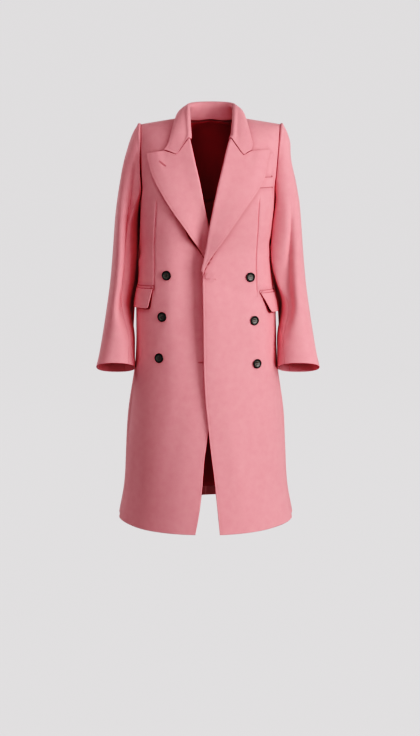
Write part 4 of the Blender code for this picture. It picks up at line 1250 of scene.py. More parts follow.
# %% The collar's cloth
def collar():
    """The whole collar, both halves joined at the centre back."""
    halves = [collar_grid(1), collar_grid(-1)]
    coarse = np.concatenate([halves[1][:0:-1], halves[0]])
    along = run_along(coarse[:, -2:-1], 0)[:, 0]
    across = run_along(coarse, 1).mean(axis=0)
    rows = curve_through(along, coarse, close_at_ends(along[-1:])[0])
    fine = curve_through(across, rows.transpose(1, 0, 2), close_at_ends(across[-1:], 0.0035)[0])
    wall("collar_cloth", fine, grid_out(fine, False), WOOL, (rose_wool,),
         free=("high", "first", "last"), outward=False)


collar()

# %% [markdown]
# ## Sleeves
# A sleeve is two pieces, a broad top sleeve outside and a narrow under sleeve next to the body. Its
# head is a little longer than the armhole, so it stands up in a soft ridge just outside the seam.
# Below the elbow the sleeve swings forward, and long folds run down it where the arm bends.

# %% Sections of the sleeves
SLEEVE = table(
    "z       inner_left  inner_right  outer   middle  breadth  rise   behind  wrap_left  wrap_right",
    (-0.270, 0.1700, 0.1770, 0.2385, 0.006, 0.0820, 0.000, 0.0170, 0.0170, 0.0040),
    (-0.340, 0.1660, 0.1795, 0.2440, 0.004, 0.0790, 0.000, 0.0175, 0.0175, 0.0000),
    (-0.410, 0.1745, 0.1870, 0.2505, -0.002, 0.0745, 0.002, 0.0190, 0.0120, 0.0000),
    (-0.477, 0.1885, 0.1985, 0.2595, -0.011, 0.0690, 0.006, 0.0170, 0.0020, 0.0040),
    (-0.557, 0.1775, 0.1880, 0.2720, -0.027, 0.0610, 0.012, 0.0020, 0.0010, 0.0010),
    (-0.600, 0.1775, 0.1875, 0.2795, -0.041, 0.0550, 0.017, 0.0000, 0.0000, 0.0000),
    (-0.630, 0.1780, 0.1865, 0.2865, -0.054, 0.0490, 0.021, 0.0000, 0.0000, 0.0000),
)
SLEEVE_CENTRE = -0.0065
CUFF_Z = -0.630
BICEPS_Z = -0.270
FRONT_SEAM = 48.0
BACK_SEAM = 292.0
SLEEVE_SQUARE = 2.3
HANG_STEP = 0.036
UNDER_ARM = -50
DOWN_SHARE = -0.6
HEAD_RISE = 0.010
FOOT_DROP = 0.060
LEAVES_ASIDE = (0.012, 0.084)
LEAVES_AHEAD = 0.03
ARRIVES = (0.060, 0.300)
HEAD_RIDGE = 0.0038
RIDGE_AT = 0.010
RIDGE_HALF = 0.009
CAP_LENGTH = 0.20
WRAPPED = {"behind": -48.0, "wrap_left": 47.5, "wrap_right": 47.5}
WRAP_SPREAD = 18.0
print("sleeve from z", BICEPS_Z, "to the cuff at z", CUFF_Z)

# %% Folds of the sleeves
SLEEVE_FOLDS = {
    "left": (
        table("z      round  spread  depth", (-0.06, 172, 30, 0.0), (-0.11, 174, 30, -0.0085),
              (-0.16, 170, 28, -0.0035), (-0.21, 166, 25, 0.0)),
        table("z      round  spread  depth", (-0.18, 112, 16, 0.0), (-0.25, 104, 15, -0.0090),
              (-0.32, 95, 16, -0.0150), (-0.39, 77, 20, -0.0175), (-0.46, 62, 19, -0.0150),
              (-0.52, 55, 18, -0.0060), (-0.57, 50, 18, 0.0)),
        table("z      round  spread  depth", (-0.20, 134, 20, 0.0), (-0.32, 126, 18, 0.0045),
              (-0.42, 108, 18, 0.0040), (-0.54, 82, 18, 0.0)),
        table("z      round  spread  depth", (-0.20, 250, 22, 0.0), (-0.34, 238, 20, -0.0060),
              (-0.46, 262, 20, -0.0070), (-0.57, 280, 20, 0.0)),
    ),
    "right": (
        table("z      round  spread  depth", (-0.07, 116, 16, 0.0), (-0.11, 102, 16, -0.0070),
              (-0.16, 88, 19, -0.0130), (-0.22, 70, 27, -0.0240), (-0.28, 62, 30, -0.0290),
              (-0.42, 57, 29, -0.0270), (-0.49, 54, 26, -0.0150), (-0.56, 50, 22, 0.0)),
        table("z      round  spread  depth", (-0.08, 160, 20, 0.0), (-0.14, 140, 18, 0.0040),
              (-0.26, 112, 20, 0.0045), (-0.42, 104, 20, 0.0040), (-0.56, 100, 20, 0.0)),
        table("z      round  spread  depth", (-0.18, 244, 22, 0.0), (-0.33, 256, 20, -0.0070),
              (-0.47, 268, 20, -0.0060), (-0.58, 276, 20, 0.0)),
    ),
}
print("folds:", {side: len(folds) for side, folds in SLEEVE_FOLDS.items()})

# %% Rings of the sleeves
def armhole_ring(side, round_it):
    """The sleeve's first ring, just outside the edge of the armhole."""
    sign = SIDES[side]
    round_it = round_it % 360
    ahead = round_it <= 180
    angle = np.where(ahead, round_it - 90.0, 270.0 - round_it)
    upper = np.where(ahead, ARMHOLE_FRONT, ARMHOLE_BACK)
    turn = armhole_turn(angle, upper)
    level = armhole_level(angle)
    ring = on_body(sign * turn, level)
    leans_down = np.where(angle < UNDER_ARM, DOWN_SHARE, 0.0)
    outwards = np.stack([sign * np.ones(len(ring)), 0 * angle, leans_down], -1)
    return ring + unit(outwards) * SLEEVE_SEAM


def arm_ring(side, round_it, z):
    """A smooth ring of the sleeve below the arm's top, at this height of its middle."""
    sign = SIDES[side]
    angle = np.radians(round_it)
    inner = read(SLEEVE, f"inner_{side}", z)
    outer = read(SLEEVE, "outer", z)
    squared = np.abs(np.cos(angle)) ** SLEEVE_SQUARE + np.abs(np.sin(angle)) ** SLEEVE_SQUARE
    reach = squared ** (-1 / SLEEVE_SQUARE)
    aside = (inner + outer) / 2 - (outer - inner) / 2 * reach * np.cos(angle)
    for corner in ("behind", f"wrap_{side}"):
        away = (round_it - WRAPPED[corner] + 180) % 360 - 180
        aside = aside - read(SLEEVE, corner, z) * np.exp(-((away / WRAP_SPREAD) ** 2))
    x = SLEEVE_CENTRE + sign * aside
    ahead = reach * np.sin(angle)
    y = read(SLEEVE, "middle", z) - read(SLEEVE, "breadth", z) * ahead
    return np.stack([x, y, z + read(SLEEVE, "rise", z) * ahead], -1)


def sleeve_folds(side, round_it, z):
    """How far the folds push the sleeve's cloth out, here and at this height."""
    out = np.zeros(np.shape(z))
    for fold in SLEEVE_FOLDS[side]:
        away = (round_it - read(fold, "round", z) + 180) % 360 - 180
        out = out + read(fold, "depth", z) * np.exp(-((away / read(fold, "spread", z)) ** 2))
    return out


print("widest sleeve:", round(float(np.ptp(arm_ring("left", np.arange(360.0), BICEPS_Z)[:, 0])), 3), "m")

# %% The cap of a sleeve
def head_ridge(round_it, from_seam):
    """The sleeve head's fullness, which stands up just outside its seam."""
    upness = (1 - np.cos(np.radians(round_it))) / 2
    return HEAD_RIDGE * ease(0.45, 0.9, upness) * np.exp(-(((from_seam - RIDGE_AT) / RIDGE_HALF) ** 2))


def sleeve_rows(side, round_it, heights, shares):
    """Smooth rings at these heights, and then at these shares of the way down from the armhole."""
    sign = SIDES[side]
    rows = [arm_ring(side, round_it, z) for z in heights]
    low = arm_ring(side, round_it, BICEPS_Z)
    top = armhole_ring(side, round_it)
    upness = (1 - np.cos(np.radians(round_it))) / 2
    leave = np.stack(
        [sign * mix(*LEAVES_ASIDE, upness**1.5), -LEAVES_AHEAD * np.sin(np.radians(round_it)),
         mix(-FOOT_DROP, HEAD_RISE, upness**0.7)], -1
    )
    hang = (low - arm_ring(side, round_it, BICEPS_Z - HANG_STEP)) / HANG_STEP
    arrive = -hang * mix(*ARRIVES, upness)[:, None]
    for s in shares:
        at_top = top * (1 + 2 * s) * (1 - s) ** 2 + leave * s * (1 - s) ** 2
        rows.append(at_top + low * s * s * (3 - 2 * s) + arrive * s * s * (s - 1))
    return np.array(rows)


print("a cap runs", CAP_LENGTH * 100, "cm down from the shoulder")

# %% The four pieces of the sleeves
CUFF_TURNED_UP = 0.038
ARM_RADIUS = 0.058
SEAM_RADIUS = 0.06


def sleeve_part(name, side, from_round, to_round):
    """One piece of a sleeve between its two seams, from the cuff to the armhole."""
    whole = np.radians(to_round - from_round) * ARM_RADIUS
    round_it = from_round + close_at_ends(np.array([whole]), 0.0050)[0] / whole * (to_round - from_round)
    tall = BICEPS_Z - CUFF_Z
    heights = CUFF_Z + close_at_ends(np.array([tall]))[0][: -len(NEAR) + 1]
    shares = 1 - close_at_ends(np.array([CAP_LENGTH]), 0.0050)[0][len(NEAR) :] / CAP_LENGTH
    smooth, after, before = (
        sleeve_rows(side, round_it + step, heights, shares) for step in (0.0, 1.0, -1.0)
    )
    out = unit(np.cross(after - before, np.gradient(smooth, axis=0))) * SIDES[side]
    from_seam = np.concatenate([np.ones(len(heights)), shares])[:, None] * CAP_LENGTH
    push = sleeve_folds(side, round_it, smooth[..., 2]) + head_ridge(round_it, from_seam)
    face = smooth + out * push[..., None]
    inside = face[:-1, :-1, 2] > CUFF_Z + CUFF_TURNED_UP
    wall(f"{name}_{side}_cloth", face, out, WOOL, (rose_wool, dark_satin), inside=inside,
         free=("low",), outward=side == "left")


gap = math.degrees(SEAM / 2 / SEAM_RADIUS)
for side in SIDES:
    sleeve_part("top_sleeve", side, FRONT_SEAM + gap, BACK_SEAM - gap)
    sleeve_part("under_sleeve", side, BACK_SEAM + gap, 360 + FRONT_SEAM - gap)

# %% [markdown]
# ## Pockets
# A flap covers each hip pocket. It hangs from a seam with a narrow strip of wool, the jet, above it,
# and its lower edge stands off the coat a little. A welt finishes the breast pocket.

# %% Sizes of the pockets
FLAPS = {
    "left": dict(front=47.0, back=104.0, front_z=-0.4315, back_z=-0.441, slant=9.0, stand=0.0085),
    "right": dict(front=44.5, back=102.0, front_z=-0.4200, back_z=-0.430, slant=2.6, stand=0.0070),
}
FLAP_DEPTH = 0.050
BACK_STAND = 0.35
JET_HEIGHT = 0.0065
WELT = dict(inner_x=0.104, outer_x=0.1565, low=-0.166, high=-0.142)
FLAP_WOOL = 0.0026
CORNER = 0.006
FLAP_RADIUS = 0.165
JET_LONGER = 0.8
print("flaps", FLAP_DEPTH * 1000, "mm deep, jets", JET_HEIGHT * 1000, "mm")

# %% Flaps, jets and welt
def round_corner(along, down, share, drop):
    """Draws the square corner at along 0, down 1 in to a quarter circle."""
    a = np.clip(1 - along / share, 0, 1)
    b = np.clip(1 - (1 - down) / drop, 0, 1)
    in_corner = (along < share) & (1 - down < drop)
    new_a = a * np.sqrt(1 - b * b / 2)
    new_b = b * np.sqrt(1 - a * a / 2)
    new_along = np.where(in_corner, (1 - new_a) * share, along)
    return new_along, np.where(in_corner, 1 - (1 - new_b) * drop, down)


def patch(name, turns, levels, lift, thickness, free):
    """A piece that lies on a panel: lift is how far its inner face is off the panel."""
    turns, levels, lift = np.broadcast_arrays(turns, levels, lift)
    face = on_body(turns, levels, lift + thickness)
    outward = turns[0, -1] > turns[0, 0]
    wall(name, face, out_at(turns, levels), thickness, (rose_wool,), free=free, outward=outward)


def flap_and_jet(side):
    """A pocket's flap with rounded corners, and the narrow jet above it."""
    sign = SIDES[side]
    sizes = FLAPS[side]
    length = math.radians(sizes["back"] - sizes["front"]) * FLAP_RADIUS
    along = close_at_ends(np.array([length]), 0.0045)[0] / length
    down = 1 - close_at_ends(np.array([FLAP_DEPTH]), 0.0040)[0] / FLAP_DEPTH
    share, drop = np.meshgrid(along, down)
    share, drop = round_corner(share, drop, CORNER / length, CORNER / FLAP_DEPTH)
    top_level = mix(sizes["front_z"], sizes["back_z"], share) - CHEST_Z
    turns = mix(sizes["front"], sizes["back"], share) + sizes["slant"] * drop * (1 - share)
    lift = SEAM + sizes["stand"] * drop * mix(1.0, BACK_STAND, share)
    patch(f"flap_{side}_cloth", sign * turns, top_level - FLAP_DEPTH * drop, lift, FLAP_WOOL,
          ("low", "first", "last"))
    turns = mix(sizes["front"] - JET_LONGER, sizes["back"] + JET_LONGER, along)[None, :]
    rise = close_at_ends(np.array([JET_HEIGHT]), 0.003)[0][:, None]
    levels = (mix(sizes["front_z"], sizes["back_z"], along) - CHEST_Z)[None, :] + SEAM + rise
    patch(f"jet_{side}_cloth", sign * turns, levels, SEAM, TRIM, ())


def breast_welt():
    """The slanted strip that finishes the breast pocket."""
    wide = WELT["outer_x"] - WELT["inner_x"]
    tall = WELT["high"] - WELT["low"]
    x = WELT["inner_x"] + close_at_ends(np.array([wide]), 0.004)[0][None, :]
    z = WELT["low"] + close_at_ends(np.array([tall]), 0.004)[0][:, None]
    levels = level_at(x, z)
    patch("breast_welt_cloth", turn_at(x, levels), levels, SEAM, TRIM, ("high",))


for side in SIDES:
    flap_and_jet(side)
breast_welt()

# %% Where one piece lies on another
IN_FROM_RIM = 6
LOOK_ROUND = 0.03


def outline(name):
    """A piece's rim, and the directions that lead out over it within the piece."""
    face = faces_of[name][0]
    rows, columns = (
        np.clip(np.arange(count), IN_FROM_RIM, count - 1 - IN_FROM_RIM) for count in face.shape[:2]
    )
    away = face - face[rows][:, columns]
    return rim_of(face), unit(rim_of(away))


# From these distances the wool's material paints a shadow beside and under each piece that lies on a panel.
def cover(panel, upper):
    """Keeps how far each point of a panel is outside the pieces that lie on it."""
    mesh = bpy.data.objects[panel].data
    nearest = np.full(len(mesh.vertices), FAR_FROM_EDGE)
    for name in upper:
        rim, away = outline(name)
        tree = tree_of(rim)
        for k, vertex in enumerate(mesh.vertices):
            found, i, apart = tree.find(vertex.co)
            if apart < LOOK_ROUND:
                nearest[k] = min(nearest[k], float(np.dot(np.array(vertex.co - found), away[i])))
    mesh.attributes["covered"].data.foreach_set("value", nearest)
    print(f"{panel}: {(nearest < 0).sum()} points lie under", ", ".join(upper))


for side in SIDES:
    pocket = [f"flap_{side}_cloth", f"jet_{side}_cloth"]
    chest = [f"lapel_{side}_cloth", "collar_cloth"] + (["breast_welt_cloth"] if side == "left" else [])
    cover(f"front_{side}_cloth", chest + pocket)
    cover(f"side_panel_{side}_cloth", pocket)
    cover(f"back_{side}_cloth", ["collar_cloth"])
    cover(f"jet_{side}_cloth", [f"flap_{side}_cloth"])
cover("lapel_right_cloth", ["lapel_left_cloth"])

# %% [markdown]
# ## Buttons
# Each button is turned from horn: a dish with four holes, a raised rim and a rounded edge. Thread
# crosses between the holes. All six are one mesh, because they are the same shape.

# %% Horn and thread
RIM_COLOURS = (0.010, 0.009, 0.009, 1), (0.050, 0.045, 0.043, 1)
# The dish's colours are lighter than the rim's: a painted reflection of light from above, over the horn's
# streaks.
DISH_REFLECTION_COLOURS = (0.075, 0.078, 0.070, 1), (0.190, 0.190, 0.170, 1)


def horn(name):
    """Streaked, polished horn, dark at the rim, with its dish painted paler as a reflection of light from
    above.
    """
    material, tree, shader = new_material(name)
    place = tree.nodes.new("ShaderNodeTexCoord").outputs["Object"]
    streaks = noise(tree, scaled(tree, place, (1, 1, 3.0)), 240, 5.0, 0.65)
    ramp = add(tree, "ShaderNodeMapRange", in0=streaks, in1=0.38, in2=0.68, in3=0.0, in4=1.0).outputs[0]
    rim = blend_colours(tree, ramp, *RIM_COLOURS)
    dish = blend_colours(tree, ramp, *DISH_REFLECTION_COLOURS)
    # Painted reflection: the dish inside the rim is made paler.
    colour = blend_colours(tree, fade(tree, on_mesh(tree, "from_axis"), 0.62, 0.72), rim, dish)
    tree.links.new(colour, shader.inputs["Base Color"])
    roughen(tree, shader, noise(tree, place, 1200, 2.0), 0.15, 0.0002)
    tree.links.new(total(tree, times(tree, streaks, 0.25), 0.22), shader.inputs["Roughness"])
    return material


dark_horn = horn("dark horn")
# Its mesh keeps no rim or covered numbers, which the material reads as 0, so the thread is painted in the
# wool's seam shade and shadow all over.
button_thread = wool_cloth("button thread", (0.30, 0.10, 0.11, 1), (0.2, 0.06, 0.07, 1), (0.4, 0.16, 0.17, 1))
print("materials so far:", [material.name for material in bpy.data.materials if material.use_nodes])

# %% Sizes and places of the buttons
BUTTON_RADIUS = 0.0120
BUTTON_HEIGHT = 0.0042
BUTTON_GAP = 0.0005
BUTTONS = {
    "left": table("x z", (0.099, -0.389), (0.109, -0.498), (0.116, -0.607)),
    "right": table("x z", (-0.109, -0.384), (-0.120, -0.488), (-0.128, -0.592)),
}
BUTTON_SIDES = 56
BUTTON_PROFILE = (
    (0, 0.44), (0.30, 0.45), (0.52, 0.50), (0.64, 0.60), (0.72, 0.80), (0.78, 0.96), (0.84, 1.0),
    (0.90, 0.98), (0.96, 0.88), (0.995, 0.70), (1.0, 0.52), (0.97, 0.30), (0.88, 0.08), (0, 0.0),
)
HOLE_RADIUS = 0.0013
HOLE_FROM_AXIS = 0.0032
HOLE_SIDES = 12
print("buttons of", BUTTON_RADIUS * 2000, "mm")

# %% A button with four holes
def turned(profile, sides):
    """Points and faces of a turned solid from (radius, height) points from axis to axis."""
    points = [(0.0, 0.0, profile[0][1])]
    for radius, height in profile[1:-1]:
        for i in range(sides):
            angle = 2 * math.pi * i / sides
            points.append((radius * math.cos(angle), radius * math.sin(angle), height))
    points.append((0.0, 0.0, profile[-1][1]))
    last = len(points) - 1
    faces = []
    for i in range(sides):
        j = (i + 1) % sides
        faces.append((0, 1 + i, 1 + j))
        for ring in range(len(profile) - 3):
            a = 1 + ring * sides
            faces.append((a + i, a + sides + i, a + sides + j, a + j))
        a = last - sides
        faces.append((a + i, last, a + j))
    return points, faces


def solid_from(name, profile, sides):
    """A turned solid as a new object in the scene."""
    points, faces = turned(profile, sides)
    mesh = bpy.data.meshes.new(name)
    mesh.from_pydata(points, [], faces)
    return put_in_scene(name, mesh)


def made_plain(piece):
    """A piece's mesh with its modifiers worked out."""
    return bpy.data.meshes.new_from_object(piece.evaluated_get(bpy.context.evaluated_depsgraph_get()))


def button_shape():
    """One button's points, faces and how far each point is from its axis, as a share."""
    r, h = BUTTON_RADIUS, BUTTON_HEIGHT
    pierced = solid_from("pierced", [(share * r, rise * h) for share, rise in BUTTON_PROFILE], BUTTON_SIDES)
    drill = [(0, 2 * h), (HOLE_RADIUS, 2 * h), (HOLE_RADIUS, -h), (0, -h)]
    drills = []
    for i in range(4):
        angle = math.radians(45 + 90 * i)
        hole = solid_from(f"drill_{i}", drill, HOLE_SIDES)
        hole.location = (HOLE_FROM_AXIS * math.cos(angle), HOLE_FROM_AXIS * math.sin(angle), 0)
        cut = pierced.modifiers.new(hole.name, "BOOLEAN")
        cut.object = hole
        cut.operation = "DIFFERENCE"
        drills.append(hole)
    mesh = made_plain(pierced)
    for helper in (pierced, *drills):
        bpy.data.objects.remove(helper)
    points = np.array([v.co[:] for v in mesh.vertices])
    faces = [tuple(p.vertices) for p in mesh.polygons]
    return points, faces, np.hypot(points[:, 0], points[:, 1]) / r


button_points, button_faces, from_axis = button_shape()
print("a button has", len(button_faces), "faces")

# %% Six buttons and their thread
THREAD_BAR = [(0, 0.0046), (0.00045, 0.0041), (0.00055, 0.0), (0.00045, -0.0041), (0, -0.0046)]
BARS_APART = HOLE_FROM_AXIS * math.sqrt(0.5)
BAR_RISE = 0.0021
SHARP_OVER = math.radians(38)


def thread_bars():
    """Two bars of thread that cross a button's dish between its holes."""
    points, faces = turned(THREAD_BAR, 8)
    bar = np.array(points)[:, [2, 0, 1]]
    rises = np.array([0, 0, BAR_RISE])
    pair = [bar + rises + np.array([0, y, 0]) for y in (-BARS_APART, BARS_APART)]
    faces = faces + [tuple(len(bar) + k for k in face) for face in faces]
    return np.concatenate(pair), faces


def on_every_button(name, points, faces, material, shares=None):
    """Sets copies of this shape on the six places as one mesh."""
    all_points, all_faces = [], []
    for side, rows in BUTTONS.items():
        for x, z in zip(rows["x"], rows["z"]):
            level = level_at(x, z)
            out = out_at(turn_at(x, level), level)
            across = unit(np.cross(np.array([0.0, 0.0, 1.0]), out))
            turn = np.stack([across, np.cross(out, across), out], -1)
            first = len(points) * len(all_points)
            all_points.append(on_front(x, z, BUTTON_GAP) + points @ turn.T)
            all_faces += [tuple(first + k for k in face) for face in faces]
    mesh = bpy.data.meshes.new(name)
    mesh.from_pydata(np.concatenate(all_points).tolist(), [], all_faces)
    mesh.materials.append(material)
    if shares is not None:
        keep_on(mesh, "from_axis", np.tile(shares, len(all_points)))
    mesh.shade_smooth()
    mesh.set_sharp_from_angle(angle=SHARP_OVER)
    print(f"{name}: {len(mesh.polygons)} faces")
    return put_in_scene(name, mesh)


button_set = on_every_button("buttons_horn", button_points, button_faces, dark_horn, from_axis)
button_threads = on_every_button("buttons_thread", *thread_bars(), button_thread)

# %% [markdown]
# ## Stitches
# A row of small sunk stitches holds each edge that shows. Geometry Nodes suit a thing that repeats
# along a path: the path is cut into equal steps, one small stitch is set on each, turned to the
# path and to the cloth, and at the end all become real mesh. The same tree sews buttonholes when
# the stitches are turned across the path and set close together.

# %% Geometry Nodes for a row of stitches
def stitch_tree():
    """The node tree: one stitch on each equal step of a line, then all as real mesh."""
    tree = bpy.data.node_groups.new("stitches along a line", "GeometryNodeTree")
    sizes = {"Apart": 0.004, "Length": 0.003, "Width": 0.0006, "Turn": 0.0, "Uneven": 0.06}
    tree.interface.new_socket("Line", in_out="INPUT", socket_type="NodeSocketGeometry")
    for label, size in sizes.items():
        socket = tree.interface.new_socket(label, in_out="INPUT", socket_type="NodeSocketFloat")
        socket.default_value = size
    tree.interface.new_socket("Seed", in_out="INPUT", socket_type="NodeSocketInt").default_value = 3
    tree.interface.new_socket("Thread", in_out="INPUT", socket_type="NodeSocketMaterial")
    tree.interface.new_socket("Stitches", in_out="OUTPUT", socket_type="NodeSocketGeometry")
    given = tree.nodes.new("NodeGroupInput").outputs
    curve = add(tree, "GeometryNodeMeshToCurve", Mesh=given["Line"]).outputs[0]
    steps = add(tree, "GeometryNodeResampleCurve", _mode="LENGTH", Curve=curve, Length=given["Apart"])
    out = add(tree, "GeometryNodeInputNamedAttribute", _data_type="FLOAT_VECTOR", Name="out")
    along = tree.nodes.new("GeometryNodeInputTangent").outputs[0]
    laid = add(tree, "FunctionNodeAxesToRotation", _primary_axis="Z", _secondary_axis="X")
    tree.links.new(out.outputs[0], laid.inputs[0])
    tree.links.new(along, laid.inputs[1])
    chance = add(tree, "FunctionNodeRandomValue", _data_type="FLOAT", Seed=given["Seed"])
    tree.links.new(maths(tree, "MULTIPLY", given["Uneven"], -1.0), chance.inputs[2])
    tree.links.new(given["Uneven"], chance.inputs[3])
    angle = maths(tree, "ADD", given["Turn"], chance.outputs[1])
    upright = tree.nodes.new("ShaderNodeCombineXYZ")
    tree.links.new(angle, upright.inputs[2])
    turned_by = tree.nodes.new("FunctionNodeEulerToRotation")
    tree.links.new(upright.outputs[0], turned_by.inputs[0])
    turned = add(tree, "FunctionNodeRotateRotation", _rotation_space="LOCAL")
    tree.links.new(laid.outputs[0], turned.inputs[0])
    tree.links.new(turned_by.outputs[0], turned.inputs[1])
    bead = add(tree, "GeometryNodeMeshUVSphere", Segments=8, Rings=5, Radius=0.5)
    size = tree.nodes.new("ShaderNodeCombineXYZ")
    for socket, label in zip(size.inputs, ("Length", "Width", "Width")):
        tree.links.new(given[label], socket)
    stitch = add(tree, "GeometryNodeTransform", Geometry=bead.outputs[0], Scale=size.outputs[0])
    rows = add(tree, "GeometryNodeInstanceOnPoints", Points=steps.outputs[0], Instance=stitch.outputs[0])
    tree.links.new(turned.outputs[0], rows.inputs["Rotation"])
    real = add(tree, "GeometryNodeRealizeInstances", Geometry=rows.outputs[0])
    smooth = add(tree, "GeometryNodeSetShadeSmooth", Geometry=real.outputs[0])
    named = add(tree, "GeometryNodeSetMaterial", Geometry=smooth.outputs[0], Material=given["Thread"])
    tree.links.new(named.outputs[0], tree.nodes.new("NodeGroupOutput").inputs[0])
    return tree


STITCHES = stitch_tree()
print(STITCHES.name, "has", len(STITCHES.nodes), "nodes")

# %% Sewing along lines
def sew(name, lines, thread, closed=False, **sizes):
    """Stitches along lines of (points, outward directions), kept as a plain mesh."""
    edges = []
    first = 0
    for points, _ in lines:
        count = len(points)
        edges += [(first + i, first + i + 1) for i in range(count - 1)]
        if closed:
            edges.append((first + count - 1, first))
        first += count
    guide = bpy.data.meshes.new(name)
    guide.from_pydata(np.concatenate([p for p, _ in lines]).tolist(), edges, [])
    layer = guide.attributes.new("out", "FLOAT_VECTOR", "POINT")
    layer.data.foreach_set("vector", np.concatenate([o for _, o in lines]).ravel())
    piece = put_in_scene(name, guide)
    rows = piece.modifiers.new("stitches", "NODES")
    rows.node_group = STITCHES
    inputs = {item.name: item.identifier for item in STITCHES.interface.items_tree if item.in_out == "INPUT"}
    for label, value in {**sizes, "Thread": thread}.items():
        rows[inputs[label]] = value
    mesh = made_plain(piece)
    piece.modifiers.clear()
    # Stitches count as far from every rim and piece, so the painted shade and shadow leave them alone.
    for label in ("rim", "free_edge", "covered"):
        keep_on(mesh, label, np.full(len(mesh.vertices), FAR_FROM_EDGE))
    piece.data = mesh
    print(f"{name}: {len(mesh.polygons)} faces")
    return piece


ROSE_THREAD = (0.74, 0.28, 0.31, 1), (0.60, 0.19, 0.22, 1), (0.84, 0.38, 0.41, 1)
HOLE_THREAD = (0.66, 0.23, 0.26, 1), (0.50, 0.14, 0.16, 1), (0.76, 0.31, 0.34, 1)
rose_thread = wool_cloth("rose thread", *ROSE_THREAD)
hole_thread = wool_cloth("buttonhole thread", *HOLE_THREAD)
print("threads:", rose_thread.name, "and", hole_thread.name)

# %% Rows beside the edges
EDGE_ROW = 0.006
ABOVE_BREAK = 0.46
BELOW_PEAK = 0.03


def row_inside(name, side, apart, skip=0.0, stop=0.0):
    """The line on a piece's outer face at this distance in from a side, without its two ends."""
    face, out = faces_of[name]
    if side in ("low", "high"):
        face, out = face.transpose(1, 0, 2), out.transpose(1, 0, 2)
    if side in ("high", "last"):
        face, out = face[:, ::-1], out[:, ::-1]
    across = run_along(face, 1)
    line, normals = [], []
    for points, directions, run in zip(face, out, across):
        if run[-1] > apart:
            line.append([np.interp(apart, run, points[:, k]) for k in range(3)])
            normals.append([np.interp(apart, run, directions[:, k]) for k in range(3)])
    line, normals = np.array(line), np.array(normals)
    along = np.concatenate([[0.0], np.cumsum(np.linalg.norm(np.diff(line, axis=0), axis=1))])
    within = (along >= skip) & (along <= along[-1] - stop)
    return line[within], normals[within]


edge_rows = []
for side in SIDES:
    edge_rows.append(row_inside(f"lapel_{side}_cloth", "last", EDGE_ROW, BELOW_PEAK, EDGE_ROW))
    edge_rows.append(row_inside(f"flap_{side}_cloth", "low", EDGE_ROW, EDGE_ROW, EDGE_ROW))
edge_rows.append(row_inside("collar_cloth", "high", EDGE_ROW, EDGE_ROW, EDGE_ROW))
for side in SIDES:
    edge_rows.append(row_inside(f"front_{side}_cloth", "first", EDGE_ROW, EDGE_ROW, ABOVE_BREAK))
sew("edge_stitching", edge_rows, rose_thread, Apart=0.0042, Length=0.0030, Width=0.0007)

# %% Buttonholes
HOLES = {
    "front_left_cloth": ((-0.009, -0.391), (0.012, -0.391)),
    "lapel_right_cloth": ((-0.126, -0.101), (-0.111, -0.112)),
    "front_right_cloth": ((-0.030, -0.600), (-0.009, -0.600)),
}
HALF_HOLE = 0.0011
THREAD_RISE = 0.00025
ACROSS = math.pi / 2


def on_piece(name, x, z):
    """Points of a piece's outer face at these places across and up, and its outward directions."""
    face, out = faces_of[name]
    points = face.reshape(-1, 3)
    near = np.argmin((points[:, :1] - x) ** 2 + (points[:, 2:] - z) ** 2, axis=0)
    base, normals = points[near], out.reshape(-1, 3)[near]
    shift = (x - base[:, 0]) * normals[:, 0] + (z - base[:, 2]) * normals[:, 2]
    laid = np.stack([x, base[:, 1] - shift / normals[:, 1], z], -1)
    return laid + normals * THREAD_RISE, normals


def buttonhole(name, start, end):
    """A closed loop round the slit, half a stitch away from it."""
    start, end = np.array(start), np.array(end)
    along = unit(end - start)
    aside = np.array([-along[1], along[0]]) * HALF_HOLE
    turns = np.radians(np.linspace(-90, 90, 9))[:, None]
    cap = np.cos(turns) * along * HALF_HOLE + np.sin(turns) * aside
    loop = np.concatenate([end + cap, start - cap])
    return on_piece(name, loop[:, 0], loop[:, 1])


holes = [buttonhole(name, *ends) for name, ends in HOLES.items()]
sew("buttonholes", holes, hole_thread, closed=True, Apart=0.0008, Length=0.0020, Width=0.0007, Turn=ACROSS)

# %% [markdown]
# ## What each piece stands for
# Every cloth piece replaces its solid in the picture and rides on the coat's one body. The size of
# its cut is measured along its own face, from seam to seam across the grain and from end to end along
# it, so the size says what the piece was before it was hung.


def face_area(face):
    """Area of a grid of points, two triangles to a square."""
    a, b, c, d = face[:-1, :-1], face[:-1, 1:], face[1:, 1:], face[1:, :-1]
    halves = (np.linalg.norm(np.cross(*pair), axis=-1) for pair in ((b - a, c - a), (c - a, d - a)))
    return float(sum(halves).sum() / 2)


def declare(piece):
    """Says what a cloth piece rides on, replaces and is cut from."""
    node = piece.name.removesuffix("_cloth")
    face = faces_of[piece.name][0]
    breadth, length = float(run_along(face, 1).max()), float(run_along(face, 0).max())
    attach(piece, "root")
    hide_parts(node)
    area = min(face_area(face), breadth * length)
    print(f"{node}: cut {breadth:.3f} x {length:.3f} m, {area:.4f} square metres")


stitching = [bpy.data.objects["edge_stitching"], bpy.data.objects["buttonholes"]]
for piece in stitching:
    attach(piece, "root")
for piece in made:
    declare(piece)
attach(button_set, "root")
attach(button_threads, "root")
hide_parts(*[f"button_{row}_{side}" for side in SIDES for row in (1, 2, 3)])

# %% [markdown]
# ## Light and floor
# A large soft light stands to the right and in front, as in the photograph, so that every fold has
# a lit and a shaded side. Weaker lights fill from the left and from behind.

